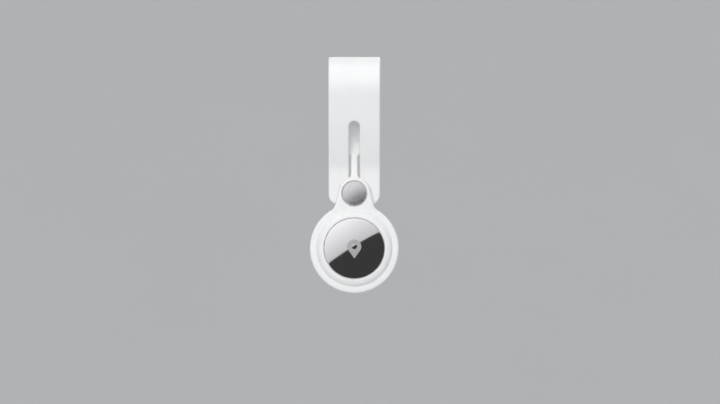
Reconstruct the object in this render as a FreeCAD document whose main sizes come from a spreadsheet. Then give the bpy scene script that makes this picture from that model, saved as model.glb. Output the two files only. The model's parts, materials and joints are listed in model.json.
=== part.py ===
"""A coin-sized Bluetooth tracker tag in its loop: a flexible strap that hangs over a bar, a snap
fastener, a round holder at the end of the strap's neck, and the tag with its battery and electronics.

Row frame: +Z up, the strap's width along X, the steel cover faces -Y. The origin is the middle of the
bar that the strap hangs over. Millimetres throughout.

Pieces of the tag, the holder and the snap are built in a turned frame: its X is the row's X, its Y is
the row's Z, and its Z, called height below, points out of the steel cover towards -Y.
"""

import FreeCAD, Part
import math
import os
import re

import Sketcher

DIMENSIONS = [
    # strap
    ("fold_radius", 10.0, "inside of the fold, the bar's radius"),
    ("strap_width", 21.8, "strap, across"),
    ("strap_thick", 2.2, "strap, through"),
    ("strap_edge", 0.8, "rounding of the strap's long edges"),
    ("tail_plane", 1.65, "row Y of the tail's middle plane"),
    ("bend_radius", 12.0, "bend of the front leg into the tail, middle line"),
    ("bend_end", -37.7, "row Z where that bend turns upright"),
    ("fold_lean", 13.0, "degrees from upright of the front leg where it leaves the fold"),
    ("tail_below", 4.8, "tail end below the snap"),
    ("tail_corner", 4.4, "corners of the tail end"),
    ("shoulder_level", -28.8, "row Z of the back leg's end"),
    ("shoulder_round", 4.0, "corners of the back leg's end"),
    ("slot_top", -14.9, "row Z of the slot's upper end"),
    ("slot_bottom", -40.3, "row Z of the slot's lower end"),
    ("slot_width", 4.5, "slot, across"),
    # neck
    ("neck_width", 2.8, "neck, across"),
    ("neck_root", 2.0, "overlap of the neck's root with the back leg"),
    ("neck_thick", 2.2, "neck, through"),
    ("neck_bend", -37.6, "row Z where the neck meets the collar's plane"),
    ("neck_pivot", -34.2, "row Z of the neck's bending line"),
    ("knuckle_gap", 0.2, "room around the neck's round end"),
    ("swing_limit", 95.0, "degrees of room for the swing"),
    # holder
    ("ring_radius", 18.8, "outside of the holder ring"),
    ("plate_thick", 2.6, "holder plate"),
    ("plate_front", 2.3, "height of the plate's front face"),
    ("plate_edge", 0.7, "rounding of the plate's edges"),
    ("collar_radius", 6.75, "round end of the collar"),
    ("collar_flare", 14.0, "degrees between the collar's sides and upright"),
    ("collar_blend", 3.2, "corner between collar and ring"),
    ("neck_blend", 2.0, "corner between collar and neck"),
    ("hole_radius", 17.4, "hole in the plate that carries the ring's bulge"),
    ("bulge_overlap", 0.2, "reach of the bulge into the plate"),
    ("lip_radius", 13.1, "opening of the front lip"),
    ("lip_height", 4.25, "height of the front lip"),
    ("groove_radius", 16.0, "front line between bulge and plate"),
    ("bulge_radius", 3.0, "round of the front bulge"),
    ("back_lip_radius", 13.5, "opening of the back lip"),
    ("back_lip_thick", 0.45, "back lip at its edge"),
    ("back_line_radius", 16.6, "back line between bulge and plate"),
    ("back_bulge_radius", 3.4, "round of the back bulge"),
    ("seat_gap", 0.08, "room between the tag and its seat"),
    # snap
    ("snap_level", -45.6, "row Z of the snap"),
    ("cap_radius", 5.2, "snap cap"),
    ("cap_thick", 0.95, "snap cap at its rim"),
    ("cap_crown", 0.25, "rise of the cap's crown"),
    ("cap_sunk", 0.6, "depth of the cap's seat"),
    ("cap_gap", 0.2, "room round the cap"),
    ("cap_brink", 0.35, "rounding of the cap's rim"),
    ("post_radius", 1.5, "post of the snap cap"),
    ("socket_radius", 4.0, "snap socket"),
    ("socket_deep", 1.2, "depth of the socket's seat"),
    ("socket_play", 0.1, "room round the stud in the socket"),
    ("spring_groove", 0.2, "depth of the spring's groove in the socket"),
    ("groove_start", 0.13, "height of that groove above the socket's face"),
    ("groove_long", 0.34, "that groove, along the axis"),
    ("wire_radius", 0.15, "wire of the snap's spring"),
    ("wire_circle", 1.85, "middle line of the spring"),
    ("wire_turn", 330.0, "degrees that the spring reaches round"),
    ("stud_radius", 2.0, "head of the snap stud"),
    ("stud_neck", 1.65, "neck of the snap stud"),
    ("stud_flange", 3.6, "flange of the snap stud"),
    ("stud_bore", 0.9, "bore of the snap stud"),
    ("stud_ball", 0.12, "height of the stud's head, underside"),
    ("stud_wide", 0.3, "height of the stud's head, widest"),
    ("stud_tip", 0.47, "height of the stud's head, top"),
    ("flange_thick", 0.35, "flange of the stud and of the rivet"),
    ("rivet_radius", 4.1, "rear rivet of the snap"),
    ("rivet_round", 0.3, "rounding of the rivet's head"),
    ("rivet_proud", 0.1, "rise of the rivet's head off the tail"),
    # tag
    ("tag_level", -68.8, "row Z of the tag's centre"),
    ("tag_radius", 15.95, "tag, widest"),
    ("tag_half", 4.0, "half of the tag's thickness"),
    ("dome_radius", 60.0, "crown of the dome"),
    ("dome_reach", 14.2, "radius where the crown turns into the edge"),
    ("dome_wall", 0.8, "dome wall"),
    ("front_round", 3.4, "round of the shell's front edge"),
    ("front_wall", 0.9, "shell wall behind that round"),
    ("mouth_radius", 12.9, "mouth of the shell"),
    ("cavity_radius", 14.3, "widest inside of the shell"),
    ("ledge_radius", 12.0, "inner edge of the shell's ledge"),
    ("ledge_height", -1.7, "height of the shell's ledge"),
    # cover
    ("cover_radius", 12.8, "steel cover"),
    ("cover_sheet", 0.4, "steel sheet"),
    ("cover_fall", 0.2, "fall of the cover's face from centre to edge"),
    ("cover_edge", 0.2, "rounding of the cover's edge"),
    ("skirt_height", 1.6, "height of the skirt's end"),
    ("lug_inner", 11.25, "inner end of a cover lug"),
    ("lug_bottom", 1.9, "height of a lug's underside"),
    ("lug_thick", 0.6, "lug, along the axis"),
    ("lug_angle", 12.0, "degrees that a lug spans"),
    ("twist_angle", 25.0, "degrees from locked to open"),
    ("lug_play", 1.5, "degrees of play at each side of a lug"),
    ("track_gap", 0.1, "room round a lug in its track"),
    ("entry_lead", 0.5, "degrees that a lug's entry begins before its open place"),
    ("pad_radius", 8.0, "foam pad inside the cover"),
    ("pad_gap", 0.05, "room between the pad and the cell"),
    # coin cell
    ("cell_radius", 10.0, "coin cell"),
    ("cell_top", 3.4, "height of the cell's + face"),
    ("cell_bottom", 0.2, "height of the cell's - face"),
    ("cell_sheet", 0.25, "sheet of the cell's can and cap"),
    ("cell_step", 8.8, "face of the cell's cap"),
    ("cell_seal", 0.35, "wall of the cell's gasket"),
    ("can_foot", 0.55, "height of the can's turned-in end"),
    ("can_round", 0.3, "rounding of the can's front edge"),
    ("can_curl", 0.2, "rounding of the can's turned-in end"),
    ("can_turned", 0.1, "reach of the can's turned-in end"),
    ("cap_clear", 0.4, "cap's rim below the can's face"),
    ("cell_gap", 0.1, "room round the cell's fillings"),
    ("anode_top", 1.3, "height of the anode's + side"),
    ("separator_top", 1.4, "height of the separator's + side"),
    # tray and board
    ("tray_radius", 12.7, "battery tray"),
    ("foot_inner", 12.1, "inside of the tray's foot"),
    ("bay_radius", 10.25, "inside of the battery bay"),
    ("bay_outer", 11.85, "outside of the bay wall"),
    ("bay_top", 3.3, "height of the bay wall"),
    ("tray_floor", -0.05, "height of the tray floor's front"),
    ("tray_under", -0.55, "height of the tray floor's back"),
    ("flange_top", 1.05, "height of the tray's outer flange"),
    ("glue_thick", 0.1, "adhesive under the tray's foot"),
    ("gasket_inner", 10.35, "cover gasket, inside"),
    ("gasket_outer", 11.05, "cover gasket, outside"),
    ("gasket_gap", 0.03, "room between the gasket and the cover"),
    ("leaf_angle", 10.0, "degrees that a contact leaf spans"),
    ("leaf_thick", 0.2, "contact leaf"),
    ("leaf_stand", 0.25, "distance of a leaf's foot from the bay"),
    ("leaf_near", 0.05, "room between a leaf's bow and the cell"),
    ("leaf_bow", 1.7, "height of a leaf's bow"),
    ("leaf_top", 2.3, "height of a leaf's end"),
    ("window_angle", 16.0, "degrees that a leaf's window spans"),
    ("window_start", 60.0, "degrees from a lug's track to a window"),
    ("window_wide", 0.7, "depth of a window in the bay wall"),
    ("window_top", 2.5, "height of a window's end"),
    ("notch_top", -1.1, "height of the notches in the tray's foot"),
    ("notch_start", 90.0, "degrees from a lug's track to a notch"),
    ("base_wide", 1.6, "ring of the - contact"),
    ("base_thick", 0.1, "sheet of the - contact"),
    ("finger_reach", 3.0, "reach of the - contact's fingers"),
    ("finger_angle", 20.0, "degrees that a finger spans"),
    ("board_notch", 0.8, "notches in the board's edge"),
    ("board_outer", 11.8, "ring board, outside"),
    ("board_inner", 6.4, "ring board, inside"),
    ("board_thick", 0.75, "ring board"),
    # speaker
    ("yoke_radius", 5.9, "speaker yoke"),
    ("yoke_wall", 0.6, "wall of the yoke"),
    ("yoke_base", 0.5, "base of the yoke"),
    ("yoke_deep", 1.65, "yoke, along the axis"),
    ("magnet_radius", 3.9, "speaker magnet"),
    ("magnet_thick", 0.95, "speaker magnet, along the axis"),
    ("pole_thick", 0.35, "pole piece"),
    ("coil_inner", 4.35, "voice coil, inside"),
    ("coil_outer", 4.95, "voice coil, outside"),
    ("coil_long", 1.5, "voice coil, along the axis"),
    # antennas
    ("carrier_inner", 12.9, "antenna carrier, inside"),
    ("carrier_outer", 14.2, "antenna carrier, outside"),
    ("carrier_top", 1.0, "height of the carrier's front"),
    ("trace_thick", 0.05, "antenna trace"),
    ("trace_inner", 13.2, "antenna trace, inside"),
    ("trace_outer", 14.0, "antenna trace, outside"),
    ("spring_angle", 6.0, "degrees that an antenna spring spans"),
    ("spring_thick", 0.25, "antenna spring"),
    ("spring_reach", 0.6, "reach of an antenna spring over the board"),
    # small parts on the board
    ("bulk_out", 9.1, "bulk capacitors, distance from the axis"),
    ("bulk_long", 1.6, "bulk capacitors, along X"),
    ("bulk_wide", 2.2, "bulk capacitors, along Z"),
    ("bulk_thick", 0.6, "bulk capacitors, along the axis"),
    ("chip_out", 7.2, "chip capacitors, distance from the axis"),
    ("chip_long", 0.5, "chip capacitors, along X"),
    ("chip_wide", 0.9, "chip capacitors, along Z"),
    ("chip_thick", 0.4, "chip capacitors, along the axis"),
]

# Parts on the board's dome side: name, distance from the axis, degrees round it, size outwards, size
# across, and thickness.
BOARD_PARTS = [
    ("bluetooth_chip", 9.0, 90.0, 3.2, 3.5, 0.55),
    ("uwb_module", 9.05, 140.0, 4.1, 3.9, 0.6),
    ("flash_memory", 9.0, 48.0, 2.0, 3.0, 0.5),
    ("accelerometer", 9.4, 15.0, 2.0, 2.0, 0.7),
    ("audio_amplifier", 9.2, -15.0, 1.6, 1.6, 0.5),
    ("power_converter", 9.2, -45.0, 2.2, 1.8, 0.6),
    ("radio_crystal", 9.3, 180.0, 1.6, 2.0, 0.45),
    ("clock_crystal", 9.3, 205.0, 1.2, 3.0, 0.45),
]

for part_name, out, turn, long, wide, thick in BOARD_PARTS:
    DIMENSIONS += [
        (part_name + "_out", out, part_name + ", distance from the axis"),
        (part_name + "_turn", turn, part_name + ", degrees round the axis"),
        (part_name + "_long", long, part_name + ", outwards"),
        (part_name + "_wide", wide, part_name + ", across"),
        (part_name + "_thick", thick, part_name + ", along the axis"),
    ]

ALIAS = re.compile(r"\b(" + "|".join(name for name, _, _ in DIMENSIONS) + r")\b")
BULK_TURNS = (228, 250, 272)
CHIP_TURNS = (0, 30, 62, 118, 160, 190, 215, 240, 265, 290)

# Antennas on the carrier: name, degrees where it begins, and degrees that it spans.
ANTENNAS = [
    ("bluetooth_antenna", "60", "70"),
    ("uwb_antenna", "170", "50"),
    ("nfc_antenna", "280", "100"),
]

LUGS = 3
FULL_TURN = 360.0
CLEAR = "1"  # how far a cutting outline reaches beyond what it cuts
TINY = 1e-6

doc = FreeCAD.newDocument("tracker_tag")
vector = FreeCAD.Vector


# ---------------------------------------------------------------- sheet and expressions


def make_sheet():
    """The driving dimensions, one row each: what it is, and its value under its alias."""
    sheet = doc.addObject("Spreadsheet::Sheet", "dims")
    for row, (name, number, note) in enumerate(DIMENSIONS, 1):
        sheet.set(f"A{row}", note)
        sheet.set(f"B{row}", str(number))
        sheet.setAlias(f"B{row}", name)
    doc.recompute()
    return sheet


dims = make_sheet()


def bound(expression):
    """The expression with each alias written as the sheet's."""
    return ALIAS.sub(r"dims.\1", str(expression))


def value(expression):
    """The expression's number now."""
    found = dims.evalExpression(bound(expression))
    return float(getattr(found, "Value", found))


# ---------------------------------------------------------------- lines of the loop, seen from the side

FOLD_LINE = "(fold_radius + strap_thick / 2)"
PLATE_PLANE = "(plate_thick / 2 - plate_front)"

# The back leg carries the holder, so it is straight. Its middle line touches the fold's circle.
BACK_TILT = (
    f"(asin({FOLD_LINE} / hypot(neck_bend; {PLATE_PLANE})) + atan({PLATE_PLANE} / neck_bend))"
)


def back_y(level):
    """Row Y of the back leg's middle line at that row Z."""
    return f"(({FOLD_LINE} + ({level}) * sin({BACK_TILT})) / cos({BACK_TILT}))"


# The front leg is slack, so it bows forward: one arc that touches the fold's circle at fold_lean, and
# the arc of the tail's bend, whose centre is (BEND_Y, bend_end).
BEND_Y = "(tail_plane - bend_radius)"
BEND_ALONG = f"({BEND_Y} * cos(fold_lean * 1 deg) + bend_end * sin(fold_lean * 1 deg))"
BEND_AWAY = f"({BEND_Y}^2 + bend_end^2 - bend_radius^2)"
BOW_RADIUS = (
    f"(({FOLD_LINE}^2 + 2 * {FOLD_LINE} * {BEND_ALONG} + {BEND_AWAY})"
    f" / (2 * ({FOLD_LINE} + bend_radius + {BEND_ALONG})))"
)
BOW_Y = f"(({BOW_RADIUS} - {FOLD_LINE}) * cos(fold_lean * 1 deg))"
BOW_Z = f"(({BOW_RADIUS} - {FOLD_LINE}) * sin(fold_lean * 1 deg))"
BEND_SHARE = f"({BOW_RADIUS} / ({BOW_RADIUS} + bend_radius))"


def front_y(level):
    """Row Y of the front leg's middle line at that row Z."""
    return f"({BOW_Y} - sqrt({BOW_RADIUS}^2 - (({level}) - {BOW_Z})^2))"


PIVOT_Y = back_y("neck_pivot")
BETWEEN_LEGS = f"(({front_y('shoulder_level')} + {back_y('shoulder_level')}) / 2)"
SNAP_ABOVE = "(snap_level - tag_level)"
PLATE_BACK = "(plate_front - plate_thick)"
TAIL_FRONT = "(strap_thick / 2 - tail_plane)"
TAIL_BACK = "(-strap_thick / 2 - tail_plane)"

# ---------------------------------------------------------------- building blocks

TURNED = FreeCAD.Rotation(vector(1, 0, 0), 90)


def new_body(name, level=None, spin="0"):
    """A PartDesign body. With a level it is in the turned frame, its origin at that row Z, and spun by
    that many degrees about its own axis."""
    body = doc.addObject("PartDesign::Body", name)
    body.Label = name
    body.AllowCompound = True
    if level is not None:
        turn = TURNED.multiply(FreeCAD.Rotation(vector(0, 0, 1), value(spin)))
        body.Placement = FreeCAD.Placement(vector(0, 0, value(level)), turn)
        body.setExpression(".Placement.Base.z", bound(level))
    return body


def new_sketch(body, name, role, offset=None, turn=None):
    """A sketch on one of the body's origin planes, moved along its normal by offset or turned about its
    own upright by turn degrees."""
    plane = next(f for f in body.Origin.OriginFeatures if f.Role == role)
    sketch = body.newObject("Sketcher::SketchObject", name)
    sketch.AttachmentSupport = [(plane, "")]
    sketch.MapMode = "FlatFace"
    if offset is not None:
        sketch.setExpression("AttachmentOffset.Base.z", bound(offset))
    if turn is not None:
        spun = FreeCAD.Rotation(vector(0, 1, 0), value(turn))
        sketch.AttachmentOffset = FreeCAD.Placement(vector(0, 0, 0), spun)
        sketch.setExpression("AttachmentOffset.Rotation.Angle", bound(turn))
    return sketch


def arc_between(start, end, radius):
    """The shorter arc from start to end. A positive radius has its centre to the left of the way there.
    Returns the arc and which of its two ends is the start."""
    half = (end - start) / 2
    left = vector(-half.y, half.x, 0).normalize()
    rise = math.sqrt(max(radius * radius - half.Length**2, 0.0))
    centre = start + half + left * math.copysign(rise, radius)
    first, last = (start, end) if radius > 0 else (end, start)
    angles = [math.atan2(p.y - centre.y, p.x - centre.x) for p in (first, last)]
    if angles[1] < angles[0]:
        angles[1] += 2 * math.pi
    circle = Part.Circle(centre, vector(0, 0, 1), abs(radius))
    return Part.ArcOfCircle(circle, *angles), (1 if radius > 0 else 2)


def hold(sketch, kind, now, text, *where):
    """One distance or radius constraint, bound to its expression."""
    held = sketch.addConstraint(Sketcher.Constraint(kind, *where, now))
    sketch.setExpression(f"Constraints[{held}]", bound(text))


def draw(sketch, corners, closed=True):
    """Lines and arcs through the corners. A corner is (x, y), or (x, y, radius) when an arc of that
    radius leaves it. Every corner is held by two distances and every arc by its radius."""
    points = [vector(value(c[0]), value(c[1]), 0) for c in corners]
    count = len(corners) if closed else len(corners) - 1
    edges = []
    for i in range(count):
        start, end = points[i], points[(i + 1) % len(points)]
        if len(corners[i]) == 3:
            shape, first = arc_between(start, end, value(corners[i][2]))
        else:
            shape, first = Part.LineSegment(start, end), 1
        edges.append((sketch.addGeometry(shape, False), first))
    for i in range(count if closed else count - 1):
        (edge, first), (follower, its_first) = edges[i], edges[(i + 1) % len(edges)]
        joined = Sketcher.Constraint("Coincident", edge, 3 - first, follower, its_first)
        sketch.addConstraint(joined)
    for i, corner in enumerate(corners):
        edge, first = edges[min(i, count - 1)]
        place = first if i < count else 3 - first
        hold(sketch, "DistanceX", points[i].x, corner[0], -1, 1, edge, place)
        hold(sketch, "DistanceY", points[i].y, corner[1], -1, 1, edge, place)
        if len(corner) == 3 and not is_half_turn(points, i, corner):
            hold(sketch, "Radius", abs(value(corner[2])), f"abs({corner[2]})", edge)


def is_half_turn(points, i, corner):
    """Whether the arc leaving corner i is half a circle, which its two ends hold already."""
    chord = (points[(i + 1) % len(points)] - points[i]).Length
    return abs(chord - 2 * abs(value(corner[2]))) < 1e-4


def draw_circle(sketch, radius, x="0", y="0"):
    """A full circle with its centre and radius bound."""
    middle = vector(value(x), value(y), 0)
    circle = Part.Circle(middle, vector(0, 0, 1), value(radius))
    edge = sketch.addGeometry(circle, False)
    hold(sketch, "DistanceX", middle.x, x, -1, 1, edge, 3)
    hold(sketch, "DistanceY", middle.y, y, -1, 1, edge, 3)
    hold(sketch, "Radius", value(radius), radius, edge)


def turn_profile(body, name, corners, kind="Revolution", angle=None, start=None):
    """Turns (radius, height) corners about the body's own axis: all round, or through an angle that
    begins at start."""
    sketch = new_sketch(body, name + "_profile", "XZ_Plane", turn=start)
    draw(sketch, corners)
    before = body.Shape.Volume if kind == "Groove" else None
    feature = body.newObject("PartDesign::" + kind, name)
    feature.Profile = sketch
    feature.ReferenceAxis = (sketch, ["V_Axis"])
    feature.Angle = FULL_TURN if angle is None else value(angle)
    if angle is not None:
        feature.setExpression("Angle", bound(angle))
    doc.recompute()
    if before is not None and body.Shape.Volume > before - TINY:
        raise RuntimeError(f"{body.Label}: {name} cuts nothing")
    return feature


def block(body, name, sketch, length, kind="Pad", reverse=False, both=False):
    """A pad or pocket of that length, to one side of the sketch or half to each."""
    feature = body.newObject("PartDesign::" + kind, name)
    feature.Profile = sketch
    feature.Length = value(length)
    feature.setExpression("Length", bound(length))
    feature.Reversed = reverse
    feature.Midplane = both
    doc.recompute()
    return feature


def cut(body, name, sketch, length, reverse=False, both=False):
    """A pocket that has to take something away."""
    before = body.Shape.Volume
    feature = block(body, name, sketch, length, "Pocket", reverse, both)
    if body.Shape.Volume > before - TINY:
        raise RuntimeError(f"{body.Label}: {name} cuts nothing")
    return feature


def around(body, name, features, count=LUGS):
    """The features repeated about the body's own axis."""
    pattern = body.newObject("PartDesign::PolarPattern", name)
    pattern.Originals = features
    pattern.Axis = (next(f for f in body.Origin.OriginFeatures if f.Role == "Z_Axis"), [""])
    pattern.Angle = FULL_TURN
    pattern.Occurrences = count
    body.Tip = pattern
    doc.recompute()
    return pattern


def round_edges(body, name, radius, wanted):
    """A fillet on the tip's edges that wanted picks."""
    tip = body.Tip
    names = [f"Edge{i}" for i, e in enumerate(tip.Shape.Edges, 1) if wanted(e)]
    if not names:
        raise RuntimeError(f"{body.Label}: {name} finds no edge")
    fillet = body.newObject("PartDesign::Fillet", name)
    fillet.Base = (tip, names)
    fillet.Radius = value(radius)
    fillet.setExpression("Radius", bound(radius))
    doc.recompute()
    return fillet


def ring(name, inner, outer, bottom, top, level="tag_level"):
    """A flat ring, or a disc when inner is 0, in the turned frame."""
    body = new_body(name, level)
    turn_profile(body, "ring", [(inner, bottom), (outer, bottom), (outer, top), (inner, top)])
    return body


def sectors(name, corners, angle, spin="0", count=LUGS):
    """Equal sectors of a turned profile, round the tag's axis, the first one's middle at spin."""
    body = new_body(name, "tag_level", f"({spin}) - ({angle}) / 2")
    first = turn_profile(body, "sector", corners, angle=angle)
    if count > 1:
        around(body, "sectors", [first], count)
    return body


# ---------------------------------------------------------------- loop


def strap_section(body, name):
    """The strap's cross-section at the top of the fold: a rectangle with rounded corners."""
    section = new_sketch(body, name, "XZ_Plane")
    middle, half, deep = FOLD_LINE, "strap_width / 2", "strap_thick / 2"
    corners = []
    for x, z, along in ((1, -1, "x"), (1, 1, "z"), (-1, 1, "x"), (-1, -1, "z")):
        flat = (f"{x} * ({half} - strap_edge)", f"{middle} + {z} * {deep}")
        side = (f"{x} * {half}", f"{middle} + {z} * ({deep} - strap_edge)")
        first, second = (flat, side) if along == "x" else (side, flat)
        corners += [(*first, "strap_edge"), second]
    draw(section, corners)
    return section


def sweep(body, name, corners):
    """The strap's section carried along a path that begins at the top of the fold."""
    path = new_sketch(body, name + "_path", "YZ_Plane")
    draw(path, corners, closed=False)
    section = strap_section(body, name + "_section")
    pipe = body.newObject("PartDesign::AdditivePipe", name)
    pipe.Profile = section
    pipe.Spine = (path, [f"Edge{i + 1}" for i in range(path.GeometryCount)])
    body.Tip = pipe
    doc.recompute()
    return pipe


def corner_cut(body, name, level, radius, plane):
    """Rounds the two corners of a leg's lower end, from a row Y plane backwards: whatever is outside a
    quarter circle goes."""
    sketch = new_sketch(body, name + "_outline", "XZ_Plane", f"-({plane})")
    for side in ("1", "-1"):
        inner, outer = f"{side} * (strap_width / 2 - {radius})", f"{side} * strap_width / 2"
        beyond = f"{side} * (strap_width / 2 + {CLEAR})"
        corners = [
            (inner, level, f"{side} * {radius}"),
            (outer, f"{level} + {radius}"),
            (beyond, f"{level} + {radius}"),
            (beyond, f"{level} - {CLEAR}"),
            (inner, f"{level} - {CLEAR}"),
        ]
        draw(sketch, corners)
    cut(body, name, sketch, "strap_width")


def slot(body):
    """The slot along the front leg and the tail, round at both ends."""
    sketch = new_sketch(body, "slot_outline", "XZ_Plane")
    half = "slot_width / 2"
    corners = [
        (half, f"slot_top - {half}", half),
        (f"-{half}", f"slot_top - {half}"),
        (f"-{half}", f"slot_bottom + {half}", half),
        (half, f"slot_bottom + {half}"),
    ]
    draw(sketch, corners)
    cut(body, "slot", sketch, "4 * fold_radius", both=True)


def neck_stub(body):
    """The neck's root on the back leg. Its end is hollow round the bending line, and open in front."""
    sketch = new_sketch(body, "neck_stub_outline", "YZ_Plane")
    half, reach = "(neck_thick / 2)", "(neck_thick / 2 + knuckle_gap)"
    raised = f"({BACK_TILT} + swing_limit * 1 deg)"
    along = f"(({half} - {reach} * cos(swing_limit)) / sin(swing_limit))"
    rear = f"sqrt({reach}^2 - {half}^2)"
    root = "(shoulder_level + neck_root)"
    root_y = back_y(root)
    tangent_y = f"({PIVOT_Y} - {reach} * cos({raised}))"
    tangent_z = f"(neck_pivot + {reach} * sin({raised}))"
    corners = [
        (f"{tangent_y} - {along} * sin({raised})", f"{tangent_z} - {along} * cos({raised})"),
        (tangent_y, tangent_z, f"-{reach}"),
        (
            f"{PIVOT_Y} + {half} * cos({BACK_TILT}) + {rear} * sin({BACK_TILT})",
            f"neck_pivot - {half} * sin({BACK_TILT}) + {rear} * cos({BACK_TILT})",
        ),
        (f"{root_y} + {half} * cos({BACK_TILT})", f"{root} - {half} * sin({BACK_TILT})"),
        (f"{root_y} - {half} * cos({BACK_TILT})", f"{root} + {half} * sin({BACK_TILT})"),
    ]
    draw(sketch, corners)
    block(body, "neck_stub", sketch, "neck_width", both=True)


def loop_strap():
    """Fold, both legs, the slotted tail, and the root of the neck."""
    body = new_body("loop_strap")
    tail_end = "(snap_level - tail_below)"
    front = [
        ("0", FOLD_LINE, FOLD_LINE),
        (
            f"-{FOLD_LINE} * cos(fold_lean * 1 deg)",
            f"-{FOLD_LINE} * sin(fold_lean * 1 deg)",
            BOW_RADIUS,
        ),
        (
            f"{BOW_Y} + {BEND_SHARE} * ({BEND_Y} - {BOW_Y})",
            f"{BOW_Z} + {BEND_SHARE} * (bend_end - {BOW_Z})",
            "-bend_radius",
        ),
        ("tail_plane", "bend_end"),
        ("tail_plane", tail_end),
    ]
    back = [
        ("0", FOLD_LINE, f"-{FOLD_LINE}"),
        (f"{FOLD_LINE} * cos({BACK_TILT})", f"-{FOLD_LINE} * sin({BACK_TILT})"),
        (back_y("shoulder_level"), "shoulder_level"),
    ]
    sweep(body, "front_leg", front)
    slot(body)
    corner_cut(body, "tail_corners", tail_end, "tail_corner", f"-{TAIL_FRONT} - {CLEAR}")
    sweep(body, "back_leg", back)
    corner_cut(body, "shoulders", "shoulder_level", "shoulder_round", BETWEEN_LEGS)
    neck_stub(body)
    snap_seats = [
        ("stud_seat", "stud_flange", TAIL_FRONT, "flange_thick", False),
        ("rivet_seat", "rivet_radius", TAIL_BACK, "flange_thick", True),
        ("rivet_hole", "stud_bore", TAIL_FRONT, "strap_thick", False),
    ]
    for name, radius, plane, depth, forwards in snap_seats:
        sketch = new_sketch(body, name + "_outline", "XZ_Plane", plane)
        draw_circle(sketch, radius, y="snap_level")
        cut(body, name, sketch, depth, reverse=forwards)
    return body


# ---------------------------------------------------------------- holder

# The tag's outline from the side: its front round, its widest band, the round of its dome's edge, and
# the dome's crown. Each round has a centre (radius, height) and its own radius.
ROUND_R = "(tag_radius - front_round)"
ROUND_H = "(tag_half - front_round)"
EDGE_ROUND = "((tag_radius - dome_reach) / (1 - dome_reach / dome_radius))"
EDGE_R = f"(tag_radius - {EDGE_ROUND})"
CROWN_H = "(dome_radius - tag_half)"
EDGE_H = (
    f"({CROWN_H} - (dome_radius - {EDGE_ROUND}) * sqrt(1 - (dome_reach / dome_radius)^2))"
)


def front_height(radius, out="0"):
    """Height of the tag's front round at that radius, moved outwards by out."""
    return f"({ROUND_H} + sqrt((front_round + {out})^2 - ({radius} - {ROUND_R})^2))"


def crown_height(radius, out="0"):
    """Height of the dome's crown at that radius, moved outwards by out."""
    return f"({CROWN_H} - sqrt((dome_radius + {out})^2 - ({radius})^2))"


def tag_side(inner_front, inner_back, out="0"):
    """Corners of the tag's outline from the front round's inner end to the crown's, moved outwards."""
    lower_r = f"({EDGE_R} + ({EDGE_ROUND} + {out}) * dome_reach / dome_radius)"
    return [
        (inner_front, front_height(inner_front, out), f"-(front_round + {out})"),
        (f"tag_radius + {out}", ROUND_H),
        (f"tag_radius + {out}", EDGE_H, f"-({EDGE_ROUND} + {out})"),
        (lower_r, crown_height(lower_r, out), f"-(dome_radius + {out})"),
        (inner_back, crown_height(inner_back, out)),
    ]


def collar_outline(body):
    """Collar and the neck's lower end, seen from the front: a round top about the snap, blends into the
    neck, and sides that spread towards the ring."""
    sketch = new_sketch(body, "collar_outline", "XY_Plane", PLATE_BACK)
    half = "neck_width / 2"
    reach = "(collar_radius + neck_blend)"
    blend_x = f"({half} + neck_blend)"
    blend_up = f"sqrt({reach}^2 - {blend_x}^2)"
    top = f"{SNAP_ABOVE} + {blend_up}"
    touch_x = f"{blend_x} * collar_radius / {reach}"
    touch_y = f"{SNAP_ABOVE} + {blend_up} * collar_radius / {reach}"
    side_x = "collar_radius * cos(collar_flare)"
    side_y = f"{SNAP_ABOVE} + collar_radius * sin(collar_flare)"
    inside = "(hole_radius - 3)"
    inside_x = f"collar_radius / cos(collar_flare) + ({SNAP_ABOVE} - {inside}) * tan(collar_flare)"
    corners = [
        (half, top, "neck_blend"),
        (touch_x, touch_y, "-collar_radius"),
        (side_x, side_y),
        (inside_x, inside),
        (f"-({inside_x})", inside),
        (f"-{side_x}", side_y, "-collar_radius"),
        (f"-{touch_x}", touch_y, "neck_blend"),
        (f"-{half}", top),
    ]
    draw(sketch, corners)
    return sketch


def is_collar_corner(edge):
    """An upright edge where the collar's side meets the ring."""
    middle = edge.CenterOfMass
    upright = edge.BoundBox.DiagonalLength - edge.BoundBox.ZLength < TINY
    off_ring = abs(math.hypot(middle.x, middle.y) - value("ring_radius"))
    beside_neck = abs(middle.x) > value("neck_width / 2")
    return upright and off_ring < 0.01 and beside_neck


def is_plate_rim(edge):
    """An outside edge of the plate's front or back face, the neck's end left out."""
    flat = edge.BoundBox.ZLength < TINY
    return flat and edge.CenterOfMass.y < value(f"{SNAP_ABOVE} + collar_radius + {CLEAR}")


def holder_neck(body):
    """The neck from its bending line down to the collar, seen from the side."""
    sketch = new_sketch(body, "neck_outline", "YZ_Plane")
    half = "(neck_thick / 2)"
    plate = f"(-{PLATE_PLANE})"
    up, forward = "(neck_pivot - tag_level)", f"(-{PIVOT_Y})"
    bend = "(neck_bend - tag_level)"
    mitre = f"{half} * tan({BACK_TILT} / 2)"
    low = f"({SNAP_ABOVE} + collar_radius - {CLEAR})"
    lean_up, lean_forward = f"{half} * sin({BACK_TILT})", f"{half} * cos({BACK_TILT})"
    corners = [
        (f"{up} - {lean_up}", f"{forward} - {lean_forward}", half),
        (f"{up} + {lean_up}", f"{forward} + {lean_forward}"),
        (f"{bend} + {mitre}", f"{plate} + {half}"),
        (low, f"{plate} + {half}"),
        (low, f"{plate} - {half}"),
        (f"{bend} - {mitre}", f"{plate} - {half}"),
    ]
    draw(sketch, corners)
    block(body, "neck", sketch, "neck_width", both=True)


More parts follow.
